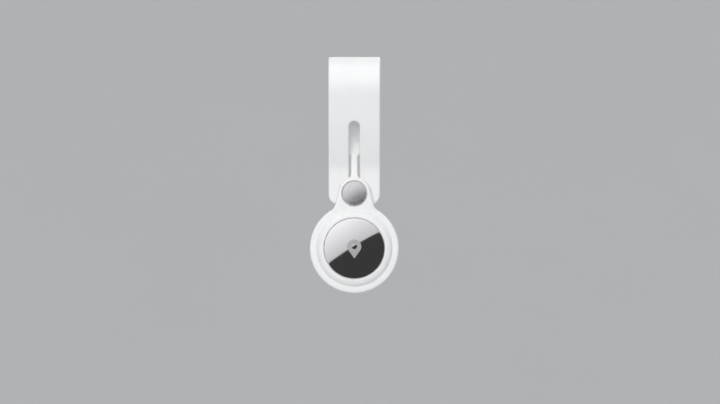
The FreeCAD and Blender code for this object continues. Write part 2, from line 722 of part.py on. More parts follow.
def snap_seat(body, name, height, radius, depth, forwards):
    """A round recess or hole for a piece of the snap, from a height backwards or forwards."""
    sketch = new_sketch(body, name + "_outline", "XY_Plane", height)
    draw_circle(sketch, radius, y=SNAP_ABOVE)
    cut(body, name, sketch, depth, reverse=forwards)


def holder():
    """The ring that grips the tag, with collar and neck, in one flexible piece."""
    body = new_body("holder", "tag_level")
    disc = new_sketch(body, "disc_outline", "XY_Plane", PLATE_BACK)
    draw_circle(disc, "ring_radius")
    block(body, "disc", disc, "plate_thick")
    block(body, "collar", collar_outline(body), "plate_thick")
    round_edges(body, "collar_blend", "collar_blend", is_collar_corner)
    round_edges(body, "plate_edge", "plate_edge", is_plate_rim)
    holder_neck(body)
    hole = new_sketch(body, "hole_outline", "XY_Plane", "plate_front")
    draw_circle(hole, "hole_radius")
    cut(body, "hole", hole, "plate_thick")
    overlap = "(hole_radius + bulge_overlap)"
    back_lip = f"({crown_height('back_lip_radius', 'seat_gap')} - back_lip_thick)"
    bulge = tag_side("lip_radius", "back_lip_radius", "seat_gap") + [
        ("back_lip_radius", back_lip, "back_bulge_radius"),
        ("back_line_radius", PLATE_BACK),
        (overlap, PLATE_BACK),
        (overlap, "plate_front"),
        ("groove_radius", "plate_front", "bulge_radius"),
        ("lip_radius", "lip_height"),
    ]
    turn_profile(body, "bulge", bulge)
    snap_seat(body, "cap_seat", "plate_front", "cap_radius + cap_gap", "cap_sunk", False)
    snap_seat(body, "socket_seat", PLATE_BACK, "socket_radius", "socket_deep", True)
    snap_seat(body, "post_hole", "plate_front", "post_radius", "plate_thick", False)
    return body


# ---------------------------------------------------------------- snap

SEAT = "(plate_front - cap_sunk)"
SOCKET_TOP = f"({PLATE_BACK} + socket_deep)"


def snap_cap():
    """The visible cap, its face slightly crowned and its rim rounded, with the post behind it."""
    body = new_body("snap_cap", "snap_level")
    rim = f"({SEAT} + cap_thick)"
    crown = f"({rim} + cap_crown)"
    crown_radius = "((cap_radius - cap_brink)^2 / (2 * cap_crown) + cap_crown / 2)"
    corners = [
        ("0", f"{SOCKET_TOP} - flange_thick"),
        ("post_radius", f"{SOCKET_TOP} - flange_thick"),
        ("post_radius", SEAT),
        ("cap_radius", SEAT),
        ("cap_radius", f"{rim} - cap_brink", "cap_brink"),
        ("cap_radius - cap_brink", rim, crown_radius),
        ("0", crown),
    ]
    turn_profile(body, "cap", corners)
    return body


def snap_socket():
    """The socket behind the collar, with a groove inside for the spring and a hole for the post."""
    body = new_body("snap_socket", "snap_level")
    bore = "(stud_radius + socket_play)"
    groove = f"({bore} + spring_groove)"
    groove_low = f"({PLATE_BACK} + groove_start)"
    groove_high = f"({groove_low} + groove_long)"
    ceiling = f"({SOCKET_TOP} - flange_thick)"
    corners = [
        (bore, PLATE_BACK),
        ("socket_radius", PLATE_BACK),
        ("socket_radius", SOCKET_TOP),
        ("post_radius", SOCKET_TOP),
        ("post_radius", ceiling),
        (bore, ceiling),
        (bore, groove_high),
        (groove, groove_high),
        (groove, groove_low),
        (bore, groove_low),
    ]
    turn_profile(body, "socket", corners)
    return body


def snap_spring():
    """The split ring of wire that closes behind the stud's head."""
    body = new_body("snap_spring", "snap_level", "105")
    profile = new_sketch(body, "wire_profile", "XZ_Plane")
    draw_circle(profile, "wire_radius", x="wire_circle")
    turn = body.newObject("PartDesign::Revolution", "wire")
    turn.Profile = profile
    turn.ReferenceAxis = (profile, ["V_Axis"])
    turn.Angle = value("wire_turn")
    turn.setExpression("Angle", bound("wire_turn"))
    doc.recompute()
    return body


def snap_stud():
    """The stud on the tail's front: a flange, a neck, and a head that is wider than the neck."""
    body = new_body("snap_stud", "snap_level")
    seat = f"({TAIL_FRONT} - flange_thick)"
    corners = [
        ("stud_bore", seat),
        ("stud_flange", seat),
        ("stud_flange", TAIL_FRONT),
        ("stud_neck", f"{TAIL_FRONT} + 0.05"),
        ("stud_neck", "stud_ball"),
        ("stud_radius", "stud_wide"),
        ("stud_radius - 0.3", "stud_tip"),
        ("0", "stud_tip"),
        ("0", "stud_ball"),
        ("stud_bore", "stud_ball"),
    ]
    turn_profile(body, "stud", corners)
    return body


def snap_rivet():
    """The rivet that comes through the tail from behind into the stud."""
    body = new_body("snap_rivet", "snap_level")
    seat = f"({TAIL_BACK} + flange_thick)"
    low = f"({TAIL_BACK} - rivet_proud)"
    corners = [
        ("0", low),
        ("rivet_radius - rivet_round", low, "rivet_round"),
        ("rivet_radius", f"{low} + rivet_round"),
        ("rivet_radius", seat),
        ("stud_bore", seat),
        ("stud_bore", "stud_ball"),
        ("0", "stud_ball"),
    ]
    turn_profile(body, "rivet", corners)
    return body


# ---------------------------------------------------------------- tag: shell and cover


def inner_crown(radius):
    """Height of the dome's inside at that radius."""
    return crown_height(radius, "-dome_wall")


def housing_shell():
    """The white shell: a domed back, a round front edge, and a ledge inside for tray and antennas."""
    body = new_body("housing_shell", "tag_level")
    inner_round = "(front_round - front_wall)"

    def inside_height(radius):
        return f"({ROUND_H} + sqrt({inner_round}^2 - ({radius} - {ROUND_R})^2))"

    corners = tag_side("mouth_radius", "0") + [
        ("0", inner_crown("0"), "dome_radius - dome_wall"),
        ("ledge_radius", inner_crown("ledge_radius")),
        ("ledge_radius", "ledge_height"),
        ("cavity_radius", "ledge_height"),
        ("cavity_radius", inside_height("cavity_radius"), inner_round),
        ("mouth_radius", inside_height("mouth_radius")),
    ]
    turn_profile(body, "shell", corners)
    return body


def battery_cover():
    """The steel cover: a shallow cup with a rounded edge and lugs that point inwards."""
    body = new_body("battery_cover", "tag_level", "-lug_angle / 2")
    edge_h, edge_r = "(tag_half - cover_fall)", "(cover_radius - cover_edge)"
    face = f"({edge_r}^2 / (2 * cover_fall) + cover_fall / 2)"
    inner = "(cover_radius - cover_sheet)"
    cup = [
        ("0", "tag_half - cover_sheet"),
        (inner, f"{edge_h} - cover_sheet"),
        (inner, "skirt_height"),
        ("cover_radius", "skirt_height"),
        ("cover_radius", f"{edge_h} - cover_edge", "cover_edge"),
        (edge_r, edge_h, face),
        ("0", "tag_half"),
    ]
    turn_profile(body, "cup", cup)
    lug_top, root = "lug_bottom + lug_thick", f"({inner} + cover_sheet / 2)"
    lug = [
        ("lug_inner", "lug_bottom"),
        (root, "lug_bottom"),
        (root, lug_top),
        ("lug_inner", lug_top),
    ]
    first = turn_profile(body, "lug", lug, angle="lug_angle")
    around(body, "lugs", [first])
    return body


PAD_BACK = "(cell_top + pad_gap)"
COVER_INSIDE = "(tag_half - cover_sheet - cover_fall)"


def cover_pad():
    """The foam disc under the cover that presses on the cell."""
    body = new_body("cover_pad", "tag_level")
    inside = "(tag_half - cover_sheet)"
    edge = f"({inside} - cover_fall * pad_radius / (cover_radius - cover_sheet))"
    corners = [("0", PAD_BACK), ("pad_radius", PAD_BACK), ("pad_radius", edge), ("0", inside)]
    turn_profile(body, "pad", corners)
    return body


# ---------------------------------------------------------------- tag: coin cell

CELL_INNER = "(cell_radius - cell_sheet)"
SEAL_INNER = f"({CELL_INNER} - cell_seal)"
CELL_CEILING = "(cell_top - cell_sheet)"


def battery_can():
    """The + can: the cell's front face and its side, turned in at the bottom."""
    body = new_body("battery_can", "tag_level")
    corners = [
        ("0", CELL_CEILING),
        (CELL_INNER, CELL_CEILING),
        (CELL_INNER, "can_foot"),
        (f"{CELL_INNER} - can_turned", "can_foot"),
        (f"{CELL_INNER} - can_turned", "can_foot - can_curl"),
        ("cell_radius - can_curl", "can_foot - can_curl", "can_curl"),
        ("cell_radius", "can_foot"),
        ("cell_radius", "cell_top - can_round", "can_round"),
        ("cell_radius - can_round", "cell_top"),
        ("0", "cell_top"),
    ]
    turn_profile(body, "can", corners)
    return body


def battery_cap():
    """The - cap: the cell's back face, stepped, with its skirt held in the gasket."""
    body = new_body("battery_cap", "tag_level")
    inner = f"({SEAL_INNER} - cell_sheet)"
    step = "(can_foot + cell_gap)"
    rim = f"({CELL_CEILING} - cap_clear)"
    corners = [
        ("0", "cell_bottom"),
        ("cell_step", "cell_bottom"),
        ("cell_step", step),
        (SEAL_INNER, step),
        (SEAL_INNER, rim),
        (inner, rim),
        (inner, f"{step} + cell_sheet"),
        ("cell_step - cell_sheet", f"{step} + cell_sheet"),
        ("cell_step - cell_sheet", "cell_bottom + cell_sheet"),
        ("0", "cell_bottom + cell_sheet"),
    ]
    turn_profile(body, "cap", corners)
    return body


def battery_gasket():
    """The plastic ring that keeps can and cap apart."""
    body = new_body("battery_gasket", "tag_level")
    inner = f"{SEAL_INNER} - cell_sheet"
    rim = f"({CELL_CEILING} - cap_clear)"
    corners = [
        (SEAL_INNER, "can_foot"),
        (CELL_INNER, "can_foot"),
        (CELL_INNER, CELL_CEILING),
        (inner, CELL_CEILING),
        (inner, rim),
        (SEAL_INNER, rim),
    ]
    turn_profile(body, "gasket", corners)
    return body


# ---------------------------------------------------------------- tag: tray, contacts and board


# Degrees from the beginning of a lug's track to the gap where the lug drops in.
ENTRY_START = "twist_angle - entry_lead"
# Degrees from the row's X to the beginning of a lug's track.
TRACK_START = "(lug_angle / 2 + lug_play)"


def battery_tray():
    """The tray that carries the cell: a bay wall with a bayonet track for each cover lug, windows for
    the contacts, and a foot on the shell's ledge."""
    body = new_body("battery_tray", "tag_level", f"-{TRACK_START}")
    foot_end = "(ledge_height + glue_thick)"
    corners = [
        ("board_inner", "tray_under"),
        ("foot_inner", "tray_under"),
        ("foot_inner", foot_end),
        ("tray_radius", foot_end),
        ("tray_radius", "flange_top"),
        ("bay_outer", "flange_top"),
        ("bay_outer", "bay_top"),
        ("bay_radius", "bay_top"),
        ("bay_radius", "tray_floor"),
        ("board_inner", "tray_floor"),
    ]
    turn_profile(body, "tray", corners)
    wide = "(lug_angle + 2 * lug_play)"
    low, high = "(lug_bottom - track_gap)", "(lug_bottom + lug_thick + track_gap)"
    inner, beyond = "(lug_inner - track_gap)", f"(bay_outer + {CLEAR})"
    door_in, door_out = f"({inner} - track_gap / 2)", f"({beyond} + track_gap)"
    window_in, window_out = "(bay_radius - window_wide)", "(bay_radius + window_wide)"
    below_floor, below_foot = f"(tray_under - {CLEAR})", f"({foot_end} - {CLEAR})"
    notch_in, notch_out = "(foot_inner - spring_thick)", f"(tray_radius + {CLEAR})"
    cuts = [
        ("track", inner, beyond, low, high, f"{wide} + twist_angle", None),
        ("entry", door_in, door_out, f"{low} + track_gap", f"bay_top + {CLEAR}", wide, ENTRY_START),
        ("window", window_in, window_out, below_floor, "window_top", "window_angle", "window_start"),
        ("foot_notch", notch_in, notch_out, below_foot, "notch_top", "2 * spring_angle", "notch_start"),
    ]
    for name, near, far, under, over, angle, start in cuts:
        profile = [(near, under), (far, under), (far, over), (near, over)]
        groove = turn_profile(body, name, profile, "Groove", angle, start)
        around(body, name + "_set", [groove])
    return body


def positive_contacts():
    """Leaf springs beside the cell, in the bay wall's windows, standing on the board."""
    near = "(cell_radius + leaf_near)"
    stand = "(bay_radius + leaf_stand)"
    corners = [
        (stand, "tray_under"),
        (f"{stand} + leaf_thick", "tray_under"),
        (f"{stand} + leaf_thick", "leaf_top"),
        (f"{near} + leaf_thick", "leaf_bow + leaf_thick"),
        (near, "leaf_bow"),
        (f"{near} + leaf_thick", "leaf_bow - leaf_thick"),
        (stand, "leaf_bow"),
    ]
    middle = f"window_start + window_angle / 2 - {TRACK_START}"
    return sectors("positive_contacts", corners, "leaf_angle", middle)


def negative_contact():
    """The spring under the cell: a ring on the tray's floor with fingers that rise to the - face."""
    body = new_body("negative_contact", "tag_level", "finger_angle")
    sheet_top = "tray_floor + base_thick"
    top = "(cell_bottom - base_thick / 5)"
    base = [
        ("board_inner", "tray_floor"),
        ("board_inner + base_wide", "tray_floor"),
        ("board_inner + base_wide", sheet_top),
        ("board_inner", sheet_top),
    ]
    turn_profile(body, "base", base)
    finger = [
        ("board_inner + base_thick", "tray_floor"),
        ("board_inner + base_thick", sheet_top),
        ("board_inner - 0.8 * finger_reach", top),
        ("board_inner - finger_reach", f"{top} - base_thick / 2"),
        ("board_inner - 0.8 * finger_reach", f"{top} - base_thick"),
    ]
    first = turn_profile(body, "finger", finger, angle="finger_angle")
    around(body, "fingers", [first])
    return body


BOARD_BACK = "(tray_under - board_thick)"


def main_board():
    """The ring board behind the tray, notched three times at its outer edge."""
    body = ring("main_board", "board_inner", "board_outer", BOARD_BACK, "tray_under")
    sketch = new_sketch(body, "notch_outline", "XY_Plane", "tray_under")
    draw_circle(sketch, "board_notch", x="board_outer")
    notch = cut(body, "notch", sketch, "board_thick")
    around(body, "notches", [notch])
    return body


def board_part(name):
    """A flat package on the board's dome side."""
    body = new_body(name, "tag_level", name + "_turn")
    sketch = new_sketch(body, "outline", "XY_Plane", BOARD_BACK)
    near, far = (f"{name}_out {sign} {name}_long / 2" for sign in "-+")
    half = f"{name}_wide / 2"
    draw(sketch, [(near, f"-{half}"), (far, f"-{half}"), (far, half), (near, half)])
    block(body, "package", sketch, name + "_thick", reverse=True)
    return body


def small_parts(name, kind, turns):
    """Several equal packages on the board's dome side, as one sub-part. Their sizes are the kind's."""
    body = new_body(name, "tag_level")
    sketch = new_sketch(body, "outlines", "XY_Plane", BOARD_BACK)
    for turn in turns:
        x, y = f"({kind}_out * cos({turn}))", f"({kind}_out * sin({turn}))"
        left, right = f"{x} - {kind}_long / 2", f"{x} + {kind}_long / 2"
        low, high = f"{y} - {kind}_wide / 2", f"{y} + {kind}_wide / 2"
        draw(sketch, [(left, low), (right, low), (right, high), (left, high)])
    block(body, "packages", sketch, kind + "_thick", reverse=True)
    return body


# ---------------------------------------------------------------- tag: speaker and antennas

YOKE_BASE = "(tray_under - yoke_base)"


def speaker_yoke():
    """The steel cup of the speaker, open towards the dome."""
    body = new_body("speaker_yoke", "tag_level")
    inner = "(yoke_radius - yoke_wall)"
    rim = "(tray_under - yoke_deep)"
    corners = [
        ("0", "tray_under"),
        ("yoke_radius", "tray_under"),
        ("yoke_radius", rim),
        (inner, rim),
        (inner, YOKE_BASE),
        ("0", YOKE_BASE),
    ]
    turn_profile(body, "cup", corners)
    return body


def antenna(name, spin, angle):
    """A metal trace along the carrier's front face."""
    top = "carrier_top + trace_thick"
    corners = [
        ("trace_inner", "carrier_top"),
        ("trace_outer", "carrier_top"),
        ("trace_outer", top),
        ("trace_inner", top),
    ]
    return sectors(name, corners, angle, spin, 1)


def antenna_springs():
    """Springs that join the board to the antenna carrier."""
    low = f"({BOARD_BACK} - spring_thick)"
    near = "board_outer - spring_reach"
    corners = [
        (near, low),
        ("carrier_inner", low),
        ("carrier_inner", BOARD_BACK),
        (near, BOARD_BACK),
    ]
    middle = f"notch_start + spring_angle - {TRACK_START}"
    return sectors("antenna_springs", corners, "spring_angle", middle)


# ---------------------------------------------------------------- all sub-parts

MAGNET_BACK = f"({YOKE_BASE} - magnet_thick)"
COIL_BACK = inner_crown("coil_outer")
CAP_SIDE = f"{SEAL_INNER} - cell_sheet - cell_gap"
CAP_FLOOR = "cell_bottom + cell_sheet"
GLUE_TOP = "ledge_height + glue_thick"
GASKET_TOP = f"{COVER_INSIDE} - gasket_gap"

# Flat rings and discs: name, inside and outside radius, and the heights of the two faces.
RINGS = [
    ("cover_gasket", "gasket_inner", "gasket_outer", "bay_top", GASKET_TOP),
    ("battery_cathode", "0", CAP_SIDE, "separator_top", CELL_CEILING),
    ("battery_separator", "0", CAP_SIDE, "anode_top", "separator_top"),
    ("battery_anode", "0", "cell_step - cell_sheet - cell_gap", CAP_FLOOR, "anode_top"),
    ("tray_adhesive", "foot_inner", "tray_radius", "ledge_height", GLUE_TOP),
    ("speaker_magnet", "0", "magnet_radius", MAGNET_BACK, YOKE_BASE),
    ("speaker_pole", "0", "magnet_radius", f"{MAGNET_BACK} - pole_thick", MAGNET_BACK),
    ("voice_coil", "coil_inner", "coil_outer", COIL_BACK, f"{COIL_BACK} + coil_long"),
    ("antenna_carrier", "carrier_inner", "carrier_outer", "ledge_height", "carrier_top"),
]

sub_parts = [
    loop_strap(),
    snap_stud(),
    snap_rivet(),
    holder(),
    snap_cap(),
    snap_socket(),
    snap_spring(),
    housing_shell(),
    battery_cover(),
    cover_pad(),
    battery_can(),
    battery_cap(),
    battery_gasket(),
    battery_tray(),
    positive_contacts(),
    negative_contact(),
    main_board(),
    *[board_part(row[0]) for row in BOARD_PARTS],
    small_parts("bulk_capacitors", "bulk", BULK_TURNS),
    small_parts("chip_capacitors", "chip", CHIP_TURNS),
    speaker_yoke(),
    *[ring(*row) for row in RINGS],
    *[antenna(*row) for row in ANTENNAS],
    antenna_springs(),
]

doc.recompute()
for found in doc.Objects:
    bad = [state for state in found.State if state in ("Invalid", "Error")]
    if bad:
        raise RuntimeError(f"{found.Label}: {bad}")

os.makedirs("parts", exist_ok=True)
for body in sub_parts:
    if body.Shape.isNull() or not body.Shape.isValid():
        raise RuntimeError(f"{body.Label}: no sound shape")
    body.Shape.exportStep(f"parts/{body.Label}.step")
    box = body.Shape.BoundBox
    print(f"{body.Label}: {box.XLength:.2f} x {box.YLength:.2f} x {box.ZLength:.2f}")
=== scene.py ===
"""The looks of the tracker tag in its loop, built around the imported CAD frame."""
import json
import math

import bpy
import numpy as np
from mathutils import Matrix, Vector
from mathutils.geometry import delaunay_2d_cdt


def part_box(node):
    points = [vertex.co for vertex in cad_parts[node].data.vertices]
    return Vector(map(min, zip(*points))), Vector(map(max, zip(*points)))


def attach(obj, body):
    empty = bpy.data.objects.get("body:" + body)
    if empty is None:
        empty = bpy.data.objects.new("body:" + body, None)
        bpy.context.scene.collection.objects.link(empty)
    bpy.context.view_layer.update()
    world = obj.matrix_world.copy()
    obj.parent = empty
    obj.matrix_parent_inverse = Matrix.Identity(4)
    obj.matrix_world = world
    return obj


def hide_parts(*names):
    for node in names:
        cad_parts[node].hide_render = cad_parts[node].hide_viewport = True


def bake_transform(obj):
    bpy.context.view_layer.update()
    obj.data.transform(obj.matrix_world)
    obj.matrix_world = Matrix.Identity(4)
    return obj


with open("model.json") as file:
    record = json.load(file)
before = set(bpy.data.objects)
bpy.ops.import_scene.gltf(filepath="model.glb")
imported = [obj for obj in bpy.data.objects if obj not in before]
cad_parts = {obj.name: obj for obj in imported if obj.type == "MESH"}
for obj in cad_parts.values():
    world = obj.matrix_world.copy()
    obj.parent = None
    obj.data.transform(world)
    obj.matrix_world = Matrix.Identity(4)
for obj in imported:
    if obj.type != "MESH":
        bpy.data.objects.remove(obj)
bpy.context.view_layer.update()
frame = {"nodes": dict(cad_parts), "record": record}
nodes = frame["nodes"]
record = frame["record"]
MM = 0.001


# ---------------------------------------------------------------- sizes, in millimetres


def box_mm(node):
    """The low and the high corner of a node's box."""
    low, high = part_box(node)
    return np.array(low) / MM, np.array(high) / MM


def middle(node):
    """The middle of a node's box."""
    low, high = box_mm(node)
    return (low + high) / 2


def half_across(node):
    """Half of a node's width, which is the radius of a round one."""
    low, high = box_mm(node)
    return (high[0] - low[0]) / 2


STRAP_LOW, STRAP_HIGH = box_mm("loop_strap")
HALF_WIDTH = half_across("loop_strap")
FOLD_INSIDE = record["mounts"][0]["dims"]["r_mm"]
THICK = STRAP_HIGH[2] - FOLD_INSIDE
FOLD = FOLD_INSIDE + THICK / 2
TAIL_Z = STRAP_LOW[2]
SNAP_Z = middle("snap_cap")[2]
TAG_Z = middle("battery_cover")[2]
RING = half_across("holder")
HOLDER_LOW, HOLDER_HIGH = box_mm("holder")
LIP_HEIGHT = -HOLDER_LOW[1]
CAP_RADIUS = half_across("snap_cap")
SOCKET_RADIUS = half_across("snap_socket")
STUD_RADIUS = half_across("snap_stud")
RIVET_RADIUS = half_across("snap_rivet")
TAG_RADIUS = half_across("housing_shell")
COVER_RADIUS = half_across("battery_cover")
TAG_HALF = -box_mm("battery_cover")[0][1]

# The CAD model's sizes that can't be read from a node's box.
RIVET_PROUD = 0.1
TAIL_Y = box_mm("snap_rivet")[1][1] - RIVET_PROUD - THICK / 2
FOLD_LEAN = 13.0
BEND_RADIUS, BEND_END_Z = 12.0, -37.7
PLATE_BACK = -box_mm("snap_socket")[1][1]
PLATE_THICK = 2.6
PLATE_Y = -(PLATE_BACK + PLATE_THICK / 2)
NECK_BEND_Z = -37.6
SHOULDER_Z = -28.8
SLOT_TOP, SLOT_BOTTOM, SLOT_HALF = -14.9, -40.3, 2.25
NECK_HALF = 1.4
TAIL_CORNER, SHOULDER_CORNER = 4.4, 4.0
COLLAR_RADIUS, COLLAR_FLARE = 6.75, math.radians(14)
SEAT_GAP = 0.08
CAP_GAP = 0.2
CAP_DEPTH, SOCKET_DEPTH, STUD_DEPTH = 0.6, 1.2, 0.35
LIP, BACK_LIP = 13.1, 13.5
FOOT, BACK_FOOT = 16.0, 16.6
BULGE, BACK_BULGE = 3.0, 3.4
PLATE_FRONT = PLATE_BACK + PLATE_THICK
BACK_LIP_H = HOLDER_HIGH[1]

# The visible moulding's own sizes: rounding of its edges, radius of the neck's bend, the level where its two
# pieces meet, and the room round the socket, stud and rivet.
EDGE, NECK_BEND_RADIUS, SEAM_Z, FIT = 0.75, 4.0, -31.2, 0.03

# Spacing of the points on flat outlines and on the middle line, and how many go round the tag.
STEP, FINE, ROUND_COUNT = 0.3, 0.05, 300


# ---------------------------------------------------------------- flat outlines


def arc(centre, radius, start, end, step=STEP):
    """Points on an arc, from one angle to another, both in degrees."""
    count = max(3, int(abs(math.radians(end - start)) * radius / step) + 1)
    angles = np.radians(np.linspace(start, end, count))
    return np.stack([centre[0] + radius * np.cos(angles), centre[1] + radius * np.sin(angles)], 1)


def chain(*parts, step=STEP):
    """Joins lists of points into one line, filling long straight gaps with points, and leaving out points
    that lie too close together."""
    points = np.concatenate([np.atleast_2d(np.array(p, float)) for p in parts])
    shortest = 0.02
    out = [points[0]]
    for p in points[1:]:
        gap = np.linalg.norm(p - out[-1])
        if gap < shortest:
            continue
        count = max(1, int(round(gap / step)))
        start = out[-1]
        for i in range(1, count + 1):
            out.append(start + (p - start) * i / count)
    return np.array(out)


def inward(points, distance):
    """A closed line moved to its left by a distance."""
    after, before = np.roll(points, -1, 0), np.roll(points, 1, 0)
    along = after - before
    along /= np.linalg.norm(along, axis=1)[:, None]
    return points + distance * np.stack([-along[:, 1], along[:, 0]], 1)


def inside(points, loop):
    """Which points lie inside a closed line."""
    x, y = points[:, 0], points[:, 1]
    result = np.zeros(len(points), bool)
    x1, y1 = loop[:, 0], loop[:, 1]
    x2, y2 = np.roll(x1, -1), np.roll(y1, -1)
    for a, b, c, d in zip(x1, y1, x2, y2):
        if b == d:
            continue
        crosses = (b > y) != (d > y)
        result ^= crosses & (x < (c - a) * (y - b) / (d - b) + a)
    return result


# ---------------------------------------------------------------- the loop's middle line


# The taut back leg's angle from upright: its line touches the fold's circle.
BACK = math.asin(FOLD / math.hypot(NECK_BEND_Z, PLATE_Y)) + math.atan(PLATE_Y / NECK_BEND_Z)


def front_leg():
    """Row (y, z) of the slack front leg, upwards: the bend above the tail, then one long bow that
    touches the bend's circle and the fold's."""
    bend = np.array([TAIL_Y - BEND_RADIUS, BEND_END_Z])
    lean_way = np.array([math.cos(math.radians(FOLD_LEAN)), math.sin(math.radians(FOLD_LEAN))])
    reach = bend @ lean_way
    bow = (FOLD**2 + 2 * FOLD * reach + bend @ bend - BEND_RADIUS**2) / (2 * (FOLD + BEND_RADIUS + reach))
    centre = (bow - FOLD) * lean_way
    turn = math.degrees(math.atan2(*(centre - bend)[::-1]))
    return arc(bend, BEND_RADIUS, 0, turn, FINE), arc(centre, bow, 180 + turn, 180 + FOLD_LEAN, FINE)


def corner_arc(corner, radius, angle_in, angle_out):
    """An arc that rounds a corner between two directions, in degrees."""
    turn = math.radians(angle_out - angle_in)
    reach = radius * math.tan(abs(turn) / 2)
    way_in = np.array([math.cos(math.radians(angle_in)), math.sin(math.radians(angle_in))])
    first = np.array(corner) - reach * way_in
    side = math.copysign(1, turn)
    normal = math.radians(angle_in + 90 * side)
    centre = first + radius * np.array([math.cos(normal), math.sin(normal)])
    return arc(centre, radius, angle_in - 90 * side, angle_out - 90 * side, FINE)


def middle_line():
    """Row (y, z) along the loop: tail, front leg, fold, back leg, neck, holder plate. Its corners are
    softened over a short length."""
    back_deg, soften = math.degrees(BACK), 1.2
    rough = chain(
        [(TAIL_Y, TAIL_Z)],
        *front_leg(),
        arc((0, 0), FOLD, 180 + FOLD_LEAN, -back_deg, FINE),
        corner_arc((PLATE_Y, NECK_BEND_Z), NECK_BEND_RADIUS, 270 - back_deg, 270),
        [(PLATE_Y, HOLDER_LOW[2] - 1)],
        step=FINE,
    )
    soft = rough.copy()
    spread = int(soften / FINE)
    weights = np.exp(-0.5 * (np.arange(-3 * spread, 3 * spread + 1) / spread) ** 2)
    weights /= weights.sum()
    for axis in range(2):
        padded = np.pad(rough[:, axis], 3 * spread, mode="reflect", reflect_type="odd")
        soft[:, axis] = np.convolve(padded, weights, mode="valid")
    return soft


LINE = middle_line()
LENGTHS = np.concatenate([[0], np.cumsum(np.linalg.norm(np.diff(LINE, axis=0), axis=1))])
SLOPES = np.gradient(LINE, axis=0)
SLOPES /= np.linalg.norm(SLOPES, axis=1)[:, None]
TOP = int(np.argmax(LINE[:, 1]))


def along(z, back):
    """Distance along the middle line where it is at a height z, on the way up or on the way down."""
    if back:
        return float(np.interp(-z, -LINE[TOP:, 1], LENGTHS[TOP:]))
    return float(np.interp(z, LINE[: TOP + 1, 1], LENGTHS[: TOP + 1]))


def place(flat, height):
    """Row position in metres of flat points (across, along) at a height off the middle line. Positive
    heights are outside the loop and behind the holder."""
    y = np.interp(flat[:, 1], LENGTHS, LINE[:, 0])
    z = np.interp(flat[:, 1], LENGTHS, LINE[:, 1])
    dy = np.interp(flat[:, 1], LENGTHS, SLOPES[:, 0])
    dz = np.interp(flat[:, 1], LENGTHS, SLOPES[:, 1])
    length = np.hypot(dy, dz)
    return np.stack([flat[:, 0], y - height * dz / length, z + height * dy / length], 1) * MM


V_SHOULDER = along(SHOULDER_Z, True)
V_SNAP = along(SNAP_Z, True)
V_TAG = along(TAG_Z, True)
V_STUD = along(SNAP_Z, False)
V_SEAM = along(SEAM_Z, True)


# ---------------------------------------------------------------- outline of the loop


def side_of_loop():
    """The right half of the flat outline, from the tail's end to the ring's foot."""
    snap = np.array([0, V_SNAP])
    tag = np.array([0, V_TAG])
    tail = arc((HALF_WIDTH - TAIL_CORNER, TAIL_CORNER), TAIL_CORNER, -90, 0)
    inset = SHOULDER_CORNER
    shoulder = arc((HALF_WIDTH - inset, V_SHOULDER - inset), inset, 0, 90)
    blend, corner = 2.0, 3.2
    blend_x = NECK_HALF + blend
    root = arc((blend_x, V_SHOULDER + blend), blend, -90, -180)
    reach = COLLAR_RADIUS + blend
    up = math.sqrt(reach**2 - blend_x**2)
    low = math.degrees(math.atan2(up, -blend_x))
    gusset = arc((blend_x, V_SNAP - up), blend, 180, low)
    start = math.degrees(math.atan2(-up, blend_x))
    flare = math.degrees(COLLAR_FLARE)
    collar = arc(snap, COLLAR_RADIUS, start, -flare)
    away = np.array([math.cos(COLLAR_FLARE), -math.sin(COLLAR_FLARE)])
    down = np.array([math.sin(COLLAR_FLARE), math.cos(COLLAR_FLARE)])
    begin = snap + away * (COLLAR_RADIUS + corner) - tag
    half_b = begin @ down
    run = -half_b - math.sqrt(half_b**2 - begin @ begin + (RING + corner) ** 2)
    centre = begin + tag + run * down
    to_tag = math.degrees(math.atan2(*(tag - centre)[::-1]))
    hollow = arc(centre, corner, 180 - flare, to_tag)
    to_hollow = math.degrees(math.atan2(*(centre - tag)[::-1]))
    ring = arc(tag, RING, to_hollow, 90)
    return chain([(0, 0)], tail, shoulder, root, gusset, collar, hollow, ring)


def loop_outline():
    """The closed flat outline, anticlockwise."""
    right = side_of_loop()
    left = right[1:-1][::-1] * np.array([-1, 1])
    return np.concatenate([right, left])


def slot_outline():
    """The slot's closed line, clockwise."""
    low, high = along(SLOT_BOTTOM, False), along(SLOT_TOP, False)
    bottom = arc((0, low + SLOT_HALF), SLOT_HALF, 0, -180)
    top = arc((0, high - SLOT_HALF), SLOT_HALF, 180, 0)
    return chain(bottom, top, [(SLOT_HALF, low + SLOT_HALF + STEP)])


def circle(centre, radius, count):
    """Points clockwise round a circle."""
    angles = -np.linspace(0, 2 * math.pi, count, endpoint=False)
    return np.stack([centre[0] + radius * np.cos(angles), centre[1] + radius * np.sin(angles)], 1)


# ---------------------------------------------------------------- heights of the two faces


def smooth_max(a, b, k):
    """The larger of two heights, rounded where they cross."""
    return np.maximum(a, b) + np.maximum(k - np.abs(a - b), 0) ** 2 / (4 * k)


def bulge(radius, foot, lip, foot_h, lip_h, bow):
    """Height of the ring's bulge at a radius: an arc from its foot up to its lip, and a straight run on
    beyond the foot."""
    half = np.array([lip - foot, lip_h - foot_h]) / 2
    reach = np.linalg.norm(half)
    rise = math.sqrt(bow**2 - reach**2)
    left = np.array([-half[1], half[0]]) / reach
    centre = np.array([foot, foot_h]) + half + rise * left
    on_arc = centre[1] + np.sqrt(np.maximum(bow**2 - (radius - centre[0]) ** 2, 0))
    slope = -(foot - centre[0]) / (foot_h - centre[1])
    return np.where(radius < foot, on_arc, foot_h + slope * (radius - foot))


def ease(share):
    """A share from 0 to 1 that starts and ends gently."""
    share = np.clip(share, 0, 1)
    return share * share * (3 - 2 * share)


